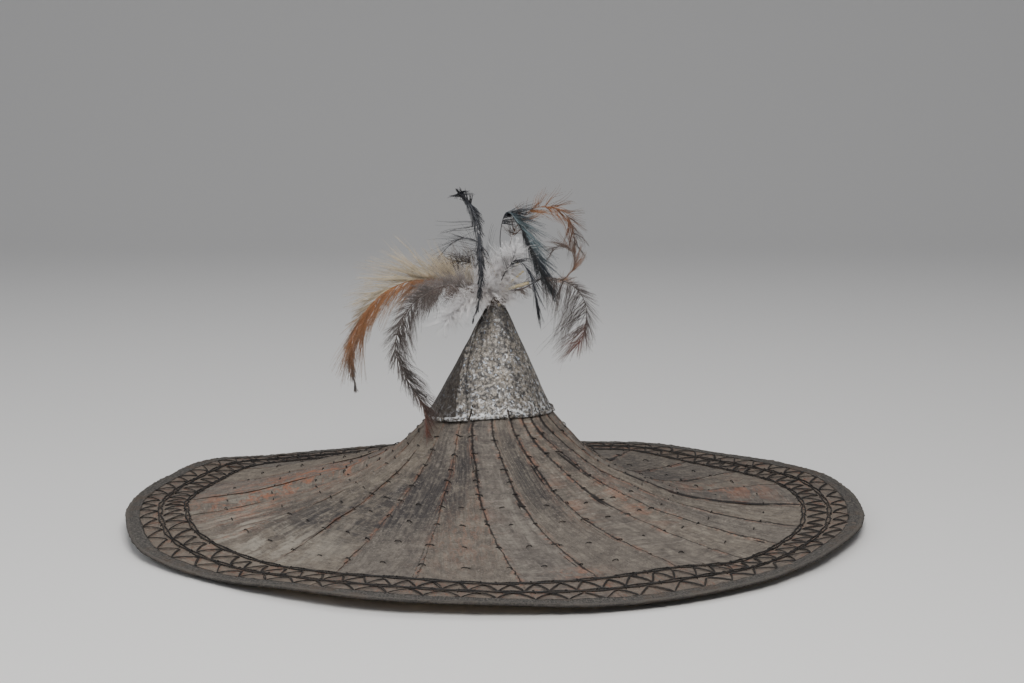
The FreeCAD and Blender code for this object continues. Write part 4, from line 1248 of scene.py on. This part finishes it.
def build_plume():
    """Every feather, with its own colours and barbs."""
    brown_dark = (0.045, 0.030, 0.024)
    brown = (0.125, 0.078, 0.055)
    pink_brown = (0.22, 0.165, 0.14)
    red_brown = (0.22, 0.075, 0.045)
    orange = (0.52, 0.21, 0.045)
    cream = (0.82, 0.70, 0.50)
    black = (0.007, 0.008, 0.010)
    # blue_black_sheen: the feathers' black with a painted blue sheen on it
    blue_black_sheen = (0.030, 0.036, 0.050)
    # painted_teal_sheen: a painted teal sheen, the light on a black feather, painted as colour
    painted_teal_sheen = (0.26, 0.35, 0.38)

    orange_look = feather_look(
        "orange_hackle",
        ((0.0, pink_brown), (0.22, (0.26, 0.17, 0.12)), (0.42, orange), (0.75, (0.42, 0.15, 0.03)),
         (0.9, brown), (1.0, blue_black_sheen)),
        ((0.0, pink_brown), (0.2, cream), (0.55, cream), (0.72, (0.34, 0.22, 0.13)), (0.86, brown),
         (1.0, blue_black_sheen)),
        (0.42, 0.27, 0.14), 0.3,
    )
    brown_look = feather_look(
        "brown_hackle",
        ((0.0, (0.36, 0.30, 0.27)), (0.22, (0.24, 0.18, 0.155)), (0.42, (0.080, 0.052, 0.041)),
         (0.8, brown_dark), (1.0, red_brown)),
        ((0.0, (0.55, 0.51, 0.49)), (0.28, (0.36, 0.31, 0.29)), (0.44, (0.11, 0.078, 0.065)),
         (0.8, brown_dark), (1.0, red_brown)),
        (0.20, 0.145, 0.125), 0.35,
    )
    # The blue-black band along this feather and its blue-black tips are painted blue sheen
    black_look = feather_look(
        "black_sickle",
        ((0.0, brown_dark), (0.25, black), (0.7, blue_black_sheen), (1.0, black)),
        ((0.0, brown_dark), (0.25, black), (0.7, blue_black_sheen), (1.0, black)),
        (0.022, 0.026, 0.036), 0.5, roughness=0.30, sheen=0.0,
    )
    # A black hackle: one vane carries a band of painted teal sheen between bands of painted blue sheen
    teal_sheen_look = feather_look(
        "black_hackle_teal_sheen",
        ((0.0, brown_dark), (0.3, black), (0.5, blue_black_sheen), (0.62, painted_teal_sheen), (0.8, blue_black_sheen), (1.0, black)),
        ((0.0, brown_dark), (0.4, black), (1.0, black)),
        (0.10, 0.115, 0.125), 0.5, roughness=0.34, sheen=0.0,
    )
    curl_look = feather_look(
        "rust_curl",
        ((0.0, brown_dark), (0.42, brown), (0.55, orange), (0.72, (0.30, 0.11, 0.03)), (1.0, brown_dark)),
        ((0.0, brown_dark), (0.45, brown), (0.6, (0.36, 0.14, 0.04)), (0.8, (0.16, 0.085, 0.05)),
         (1.0, brown_dark)),
        (0.15, 0.09, 0.06), 0.5,
    )
    down_look = feather_look(
        "grey_white_down",
        ((0.0, pink_brown), (0.35, (0.80, 0.75, 0.72)), (1.0, (0.93, 0.92, 0.93))),
        ((0.0, pink_brown), (0.35, (0.70, 0.65, 0.63)), (1.0, (0.86, 0.85, 0.86))),
        (0.90, 0.89, 0.90), 0.5, roughness=0.85, sheen=0.3, gloom=0.15,
    )

    upright, level = (1.0, 0.0, 0.0), (0.0, 0.0, 1.0)
    plume_piece(
        "plume_left_orange", "feather_left_orange", "brown_feather",
        (7, ((-20, -4, 176), (-42, -8, 180), (-64, -11, 179), (-86, -15, 170), (-103, -17, 152),
             (-113, -19, 128), (-109, -20, 95))),
        level,
        (
            (-1, steady(((0, 28), (0.4, 44), (0.7, 38), (1, 16)), ((0, 50), (0.4, 34), (1, 16)),
                        380, span=(0.22, 0.62),
                        bend=0.12, pull=(0, 0, -0.14), spread=8, bunch=3, cling=0.3, thick=0.17)),
            (-1, steady(((0, 16), (1, 4)), ((0, 20), (1, 10)),
                        240, span=(0.6, 0.995), pull=(0, 0, -0.1), thick=0.16)),
            (1, steady(((0, 16), (0.4, 34), (0.7, 40), (1, 20)), ((0, 52), (0.4, 28), (1, 8)),
                       560, span=(0.26, 0.82),
                       bend=0.2, pull=(0.02, 0, -0.36), spread=7, bunch=3, thick=0.16)),
            (1, steady(((0, 14), (1, 4)), ((0, 20), (1, 12)),
                       240, span=(0.78, 0.995), pull=(0, 0, -0.1), thick=0.16)),
            *both(fluff(20, 420, (0.12, 0.42), thick=0.14)),
        ),
        orange_look, 51,
    )
    plume_piece(
        "plume_left_brown", "feather_left_brown", "brown_feather",
        (8, ((-18, -12, 172), (-38, -23, 176), (-60, -33, 167), (-73, -39, 148), (-76, -42, 128),
             (-67, -45, 106), (-55, -47, 84), (-53, -48, 64))),
        level,
        (
            (-1, steady(((0, 10), (0.3, 16), (0.7, 12), (1, 3)), ((0, 54), (0.4, 34), (1, 14)),
                        760, span=(0.22, 0.995),
                        pull=(0, 0, -0.12), bunch=3, cling=0.3, spread=10, thick=0.13)),
            (1, steady(((0, 14), (0.35, 24), (0.75, 22), (1, 7)), ((0, 60), (0.5, 42), (1, 18)),
                       860, span=(0.22, 0.995),
                       bend=0.4, pull=(0.03, 0, -0.22), bunch=3, cling=0.3, spread=10, thick=0.13)),
            *both(fluff(18, 400, (0.08, 0.42), thick=0.14)),
        ),
        brown_look, 52,
    )
    narrow = steady(((0, 7), (0.25, 12), (0.5, 12), (0.8, 8), (1, 3)), ((0, 30), (0.5, 15), (1, 8)), 620,
                    span=(0.40, 0.995), bend=0.1, pull=(0, 0, -0.05), spread=4, lift=0.05, bunch=6,
                    thick=0.15)
    wisps = steady(((0, 34), (0.6, 46), (1, 22)), ((0, 104), (1, 80)), 26, span=(0.14, 0.36), bend=0.05,
                   pull=(-0.1, 0, -0.18), spread=12, curl=0.05, thick=0.13, bunch=2)
    plume_piece(
        "plume_black_upright", "feather_black_arched", "black_feather",
        (6, ((-11, 7, 196), (-14, 8, 224), (-22, 4, 240), (-30, -4, 245), (-24, -13, 243), (-16, -21, 228),
             (-12, -30, 196), (-13, -35, 168), (-18, -38, 150))),
        upright, (*both(narrow), (-1, wisps)), black_look, 53,
    )
    plume_piece(
        "plume_black_right", "feather_black_right", "black_feather",
        (0, ((5, -1, 186), (3, -3, 212), (8, -6, 231), (18, -9, 221), (28, -12, 201), (36, -15, 184),
             (44, -18, 169))),
        (0.3, 0.4, 1.0),
        (
            (1, steady(((0, 34), (0.25, 46), (0.6, 38), (0.85, 16), (1, 5)), ((0, 88), (0.3, 64),
            (0.6, 40), (1, 14)),
                       520, span=(0.45, 0.985), bend=0.2, pull=(0.05, 0, -0.10), spread=7, bunch=3,
                       thick=0.17)),
            (-1, steady(((0, 12), (0.4, 20), (1, 8)), ((0, 34), (0.5, 24), (1, 14)),
                        320, span=(0.60, 0.985), bend=0.2, pull=(0, 0, -0.25), spread=7, thick=0.15)),
        ),
        teal_sheen_look, 54,
    )
    loose_curl = {"curl": 0.09, "spread": 14, "bunch": 3, "thick": 0.15}
    plume_piece(
        "plume_orange_right", "feather_orange_right", "brown_feather",
        (3, ((8, 14, 186), (13, 18, 212), (26, 19, 230), (43, 18, 233), (57, 16, 224), (62, 14, 203))),
        upright,
        (
            (1, steady(((0, 16), (0.6, 24), (1, 12)), ((0, 50), (0.5, 34), (1, 22)), 150, span=(0.42, 0.99),
                       pull=(0.1, 0, -0.12), **loose_curl)),
            (-1, steady(((0, 12), (0.6, 20), (1, 12)), ((0, 60), (0.5, 44), (1, 26)), 130, span=(0.42, 0.99),
                        pull=(0.05, 0, -0.1), **loose_curl)),
        ),
        curl_look, 55, 0.45,
    )
    plume_piece(
        "plume_brown_curl", "feather_brown_curl", "brown_feather",
        (1, ((18, 8, 174), (36, 12, 177), (51, 14, 176), (60, 13, 185), (61, 11, 197), (53, 9, 204),
             (43, 8, 201))),
        (0.0, 0.3, 1.0),
        both(steady(((0, 8), (0.5, 18), (1, 11)), ((0, 56), (0.5, 34), (1, 22)),
                    130, span=(0.3, 0.99), pull=(0, 0, 0), **loose_curl)),
        curl_look, 56, 0.45,
    )
    plume_piece(
        "plume_brown_droop", "feather_brown_droop", "brown_feather",
        (13, ((20, -8, 172), (38, -14, 181), (56, -18, 177), (66, -21, 167), (69, -23, 154), (66, -25, 137),
              (61, -26, 128))),
        level,
        (
            (-1, steady(((0, 8), (0.4, 15), (0.75, 17), (1, 9)), ((0, 40), (0.45, 28), (1, 12)),
                        260, span=(0.5, 0.99),
                        bend=0.25, pull=(0.08, 0, -0.12), spread=8, bunch=2, cling=0.3, thick=0.11)),
            (1, steady(((0, 20), (0.35, 40), (0.7, 38), (1, 14)), ((0, 96), (0.4, 76), (1, 26)),
                       300, span=(0.38, 0.99),
                       bend=0.3, pull=(-0.06, 0, -0.14), spread=8, bunch=2, cling=0.3, thick=0.115)),
            *both(fluff(8, 110, (0.12, 0.36))),
        ),
        brown_look, 57,
    )
    plume_piece(
        "plume_black_hanging", "feather_black_hanging", "black_feather",
        (11, ((7, -16, 186), (16, -25, 196), (26, -31, 184), (32, -34, 158))),
        (1.0, 0.3, 0.0),
        both(steady(((0, 14), (0.5, 24), (1, 10)), ((0, 44), (1, 10)),
                    90, span=(0.36, 0.99), pull=(0, 0, -0.35), spread=9, bunch=3, thick=0.14)),
        black_look, 58,
    )
    plume_piece(
        "plume_brown_short", "feather_brown_short", "brown_feather",
        (4, ((-5, 14, 181), (-17, 18, 188), (-30, 20, 190), (-41, 20, 183))),
        level, both(fluff(20, 460, (0.2, 0.99), thick=0.13)), brown_look, 59, 0.5,
    )
    plume_piece(
        "plume_back_black", "feather_back_black", "black_feather",
        (5, ((-4, 20, 190), (-14, 30, 204), (-26, 38, 207), (-40, 45, 198), (-52, 50, 178))),
        (1.0, 0.4, 0.0),
        both(steady(((0, 20), (0.5, 30), (1, 14)), ((0, 62), (0.5, 40), (1, 18)),
                    44, span=(0.3, 0.99), bunch=2, thick=0.13, stray=0.2)),
        black_look, 60,
    )
    rng = np.random.default_rng(61)
    parts = []
    tufts = (
        (9, ((-13, -17, 169), (-26, -26, 163), (-38, -32, 151)), level, 14, (0.25, 0.99)),
        (10, ((4, -11, 181), (9, -15, 193), (15, -17, 203)), upright, 17, (0.2, 0.99)),
        (9, ((-5, -8, 172), (-8, -12, 178)), upright, 15, (0.3, 0.99)),
        (2, ((5, 8, 174), (9, 10, 182)), upright, 15, (0.3, 0.99)),
        (6, ((-8, 5, 176), (-16, 6, 181)), level, 16, (0.3, 0.99)),
    )
    for place, points, across, long, span in tufts:
        line = smooth_line(quill_line(place, points), 60)
        parts.append(shaft(line, across, 0.4, 0.1))
        plan = fluff(long, 500, span, bunch=3, steps=7, thick=0.19)
        for sign in (-1, 1):
            parts.append(vane(line, across, sign, plan, rng))
    verts, faces, values = join(parts)
    place_piece("plume_down", "down_tufts", "grey_down", verts, faces, down_look, strand=values)


def cut_quills(look):
    """Bare quills, cut off slantwise, each beside a thinner one."""
    parts = []
    for place, ends in ((12, ((25, -11, 177), (21, -10, 186))), (2, ((17, 12, 190), (-2, -8, 189)))):
        for end, thick in zip(ends, (1.3, 0.9)):
            line = smooth_line(quill_line(place, (end,)), 60)
            ups = np.tile([0.3, -0.9, 0.3], (1, 60, 1))
            parts.append(ropes(line[None], ups, thick * MM, 30 * MM, sides=12, depth=0.06))
    place_cord("cut_quills", "quill_stubs", "quill", parts, look)


def quill_wrap(look):
    """Cord wound round the quills, one turn on the next, with a knot."""
    low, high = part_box("plume_binding")
    turns, count = 4.2, 420
    s = np.linspace(0, 1, count)
    th = s * TAU * turns
    r = 6.85 * MM + 0.25 * MM * np.sin(5 * th)
    z = low.z + 0.95 * MM + (high.z - low.z - 1.9 * MM) * s
    points = np.stack([r * np.cos(th), r * np.sin(th), z], -1)[None]
    ups = np.tile([0.0, 0.0, 1.0], (1, count, 1))
    parts = [ropes(points, ups, 0.92 * MM, 3.0 * MM, sides=9)]
    t = np.linspace(0, TAU * 1.4, 50)
    knot = np.stack([3.0 * np.cos(t), -7.4 + 0.6 * np.sin(2 * t), 2.0 * np.sin(t)], -1) * MM
    knot[:, 2] += (low.z + high.z) / 2
    parts.append(ropes(knot[None], np.tile([0.0, -1.0, 0.0], (1, 50, 1)), 0.8 * MM, 3.0 * MM, sides=8))
    place_cord("quill_wrap", "plume_binding", "cord", parts, look)


def plume_rod(look):
    """The stick the plume is tied to, with a joint and a bevelled top."""
    low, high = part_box("plume_stick")
    radius = (high.x - low.x) / 2
    s = np.linspace(0, 1, 90)
    z = low.z + (high.z - low.z) * s
    joint = np.exp(-(((s - 0.45) * 40) ** 2)) * 0.25 * MM
    r = radius * 0.94 + joint - 0.7 * MM * np.clip((s - 0.97) / 0.03, 0, 1)
    points = np.stack([0 * s, 0 * s, z], -1)[None]
    side = np.tile([1.0, 0.0, 0.0], (1, 90, 1))
    up = np.tile([0.0, 1.0, 0.0], (1, 90, 1))
    verts, faces = sweep(points, side, up, circle(24) * r[None, :, None, None])
    place_piece("plume_rod", "plume_stick", "bamboo", verts, faces, look)


# ------------------------------------------------------------------ stage and camera


def floor_look():
    look = Look("pale_floor")
    look.colour = (0.80, 0.79, 0.775)
    look.tint(look.noise(look.place(), 60.0, 3.0), 0.3, 0.7, 0.04, (0.74, 0.73, 0.72))
    return look.finish(0.85, specular=0.2)


def area_light(name, place, aim, size, power, colour=(1, 1, 1)):
    light = bpy.data.lights.new(name, "AREA")
    light.shape = "RECTANGLE"
    light.size, light.size_y = size
    light.energy = power
    light.color = colour
    obj = bpy.data.objects.new(name, light)
    obj.location = place
    obj.rotation_euler = (Vector(aim) - Vector(place)).to_track_quat("-Z", "Y").to_euler()
    bpy.context.scene.collection.objects.link(obj)


def make_stage():
    """A pale floor that curves up behind, a broad key light and soft fills."""
    across, deep = 41, 61
    bend_start, bend_radius = 2.2, 1.6
    run = np.linspace(-3.0, 5.0, deep)[:, None]
    past = run - bend_start
    angle = np.clip(past / bend_radius, 0, math.pi / 2)
    y = np.where(past < 0, run, bend_start + bend_radius * np.sin(angle))
    rise = bend_radius * (1 - np.cos(angle)) + np.maximum(past - bend_radius * math.pi / 2, 0) * 2
    points = table((deep, across), np.linspace(-4.0, 4.0, across), y, np.where(past < 0, 0.0, rise))
    index = np.arange(deep * across).reshape(deep, across)
    make_piece("floor", points, grid_faces(index)[:, ::-1], floor_look())

    area_light("key", (0.1, -1.2, 1.25), (-0.05, 0.0, 0.05), (0.7, 0.7), 22.0, (1.0, 0.985, 0.96))
    area_light("fill", (-1.5, -0.9, 1.1), (0.0, 0.0, 0.05), (1.4, 1.2), 8.0, (0.96, 0.98, 1.0))
    area_light("top", (0.0, 0.5, 1.9), (0.0, 0.0, 0.0), (1.6, 1.4), 10.0)
    world = bpy.data.worlds.new("soft_room")
    world.use_nodes = True
    background = world.node_tree.nodes["Background"].inputs
    background[0].default_value = (0.93, 0.95, 1.0, 1.0)
    background[1].default_value = 0.28
    bpy.context.scene.world = world


def make_camera():
    """A slightly long lens, in front and a little above, aimed above and beside the hat's middle."""
    distance, elevation = 1.5, math.radians(13.2)
    aim_above, aim_beside = math.radians(4.906), math.radians(0.478)
    camera = bpy.data.cameras.new("camera")
    camera.sensor_width = 36.0
    camera.lens = 66.55
    camera.clip_start, camera.clip_end = 0.05, 30.0
    obj = bpy.data.objects.new("camera", camera)
    obj.location = (0.0, -distance * math.cos(elevation), distance * math.sin(elevation) + LIFT)
    obj.rotation_mode = "XYZ"
    obj.rotation_euler = (math.pi / 2 - elevation + aim_above, 0.0, -aim_beside)
    bpy.context.scene.collection.objects.link(obj)
    bpy.context.scene.camera = obj


# ------------------------------------------------------------------ build


def build():
    leaf_material = leaf_look()
    for k in range(len(SEAMS)):
        leaf_strip(k, leaf_material)
    lining_material = lining_look()
    for k in range(LINING_LEAVES):
        lining_strip(k, lining_material)

    thread = thread_look()
    rng = np.random.default_rng(11)
    couched_cords("border_cord_inner", "border_cords_inner", INNER_CORDS, rng, thread)
    couched_cords("border_cord_middle", "border_cords_middle", MIDDLE_CORDS, rng, thread)
    zigzag_thread("zigzag_inner", "border_zigzag_inner", *INNER_ZIGZAG, rng, thread)
    zigzag_thread("zigzag_outer", "border_zigzag_outer", *OUTER_ZIGZAG, rng, thread)
    tie_threads(thread)
    brim_edging(binding_look())

    cane = cane_look()
    cane_hoops("crown_canes", "crown_hoops", CROWN_HOOP_RADII, rng, cane)
    cane_hoops("brim_canes", "brim_hoops", BRIM_HOOP_RADII, rng, cane)
    head_band(cane)
    cord = cord_look()
    head_band_ties(cord)

    tin_cone(tin_look())
    cap_threads(thread)
    build_plume()
    cut_quills(quill_look())
    quill_wrap(cord)
    plume_rod(stick_look())

    for node, look in (("rim_hoop", cane), ("crown_tip_binding", cord)):
        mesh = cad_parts[node].data
        mesh.materials.clear()
        mesh.materials.append(look)

    make_stage()
    make_camera()


build()
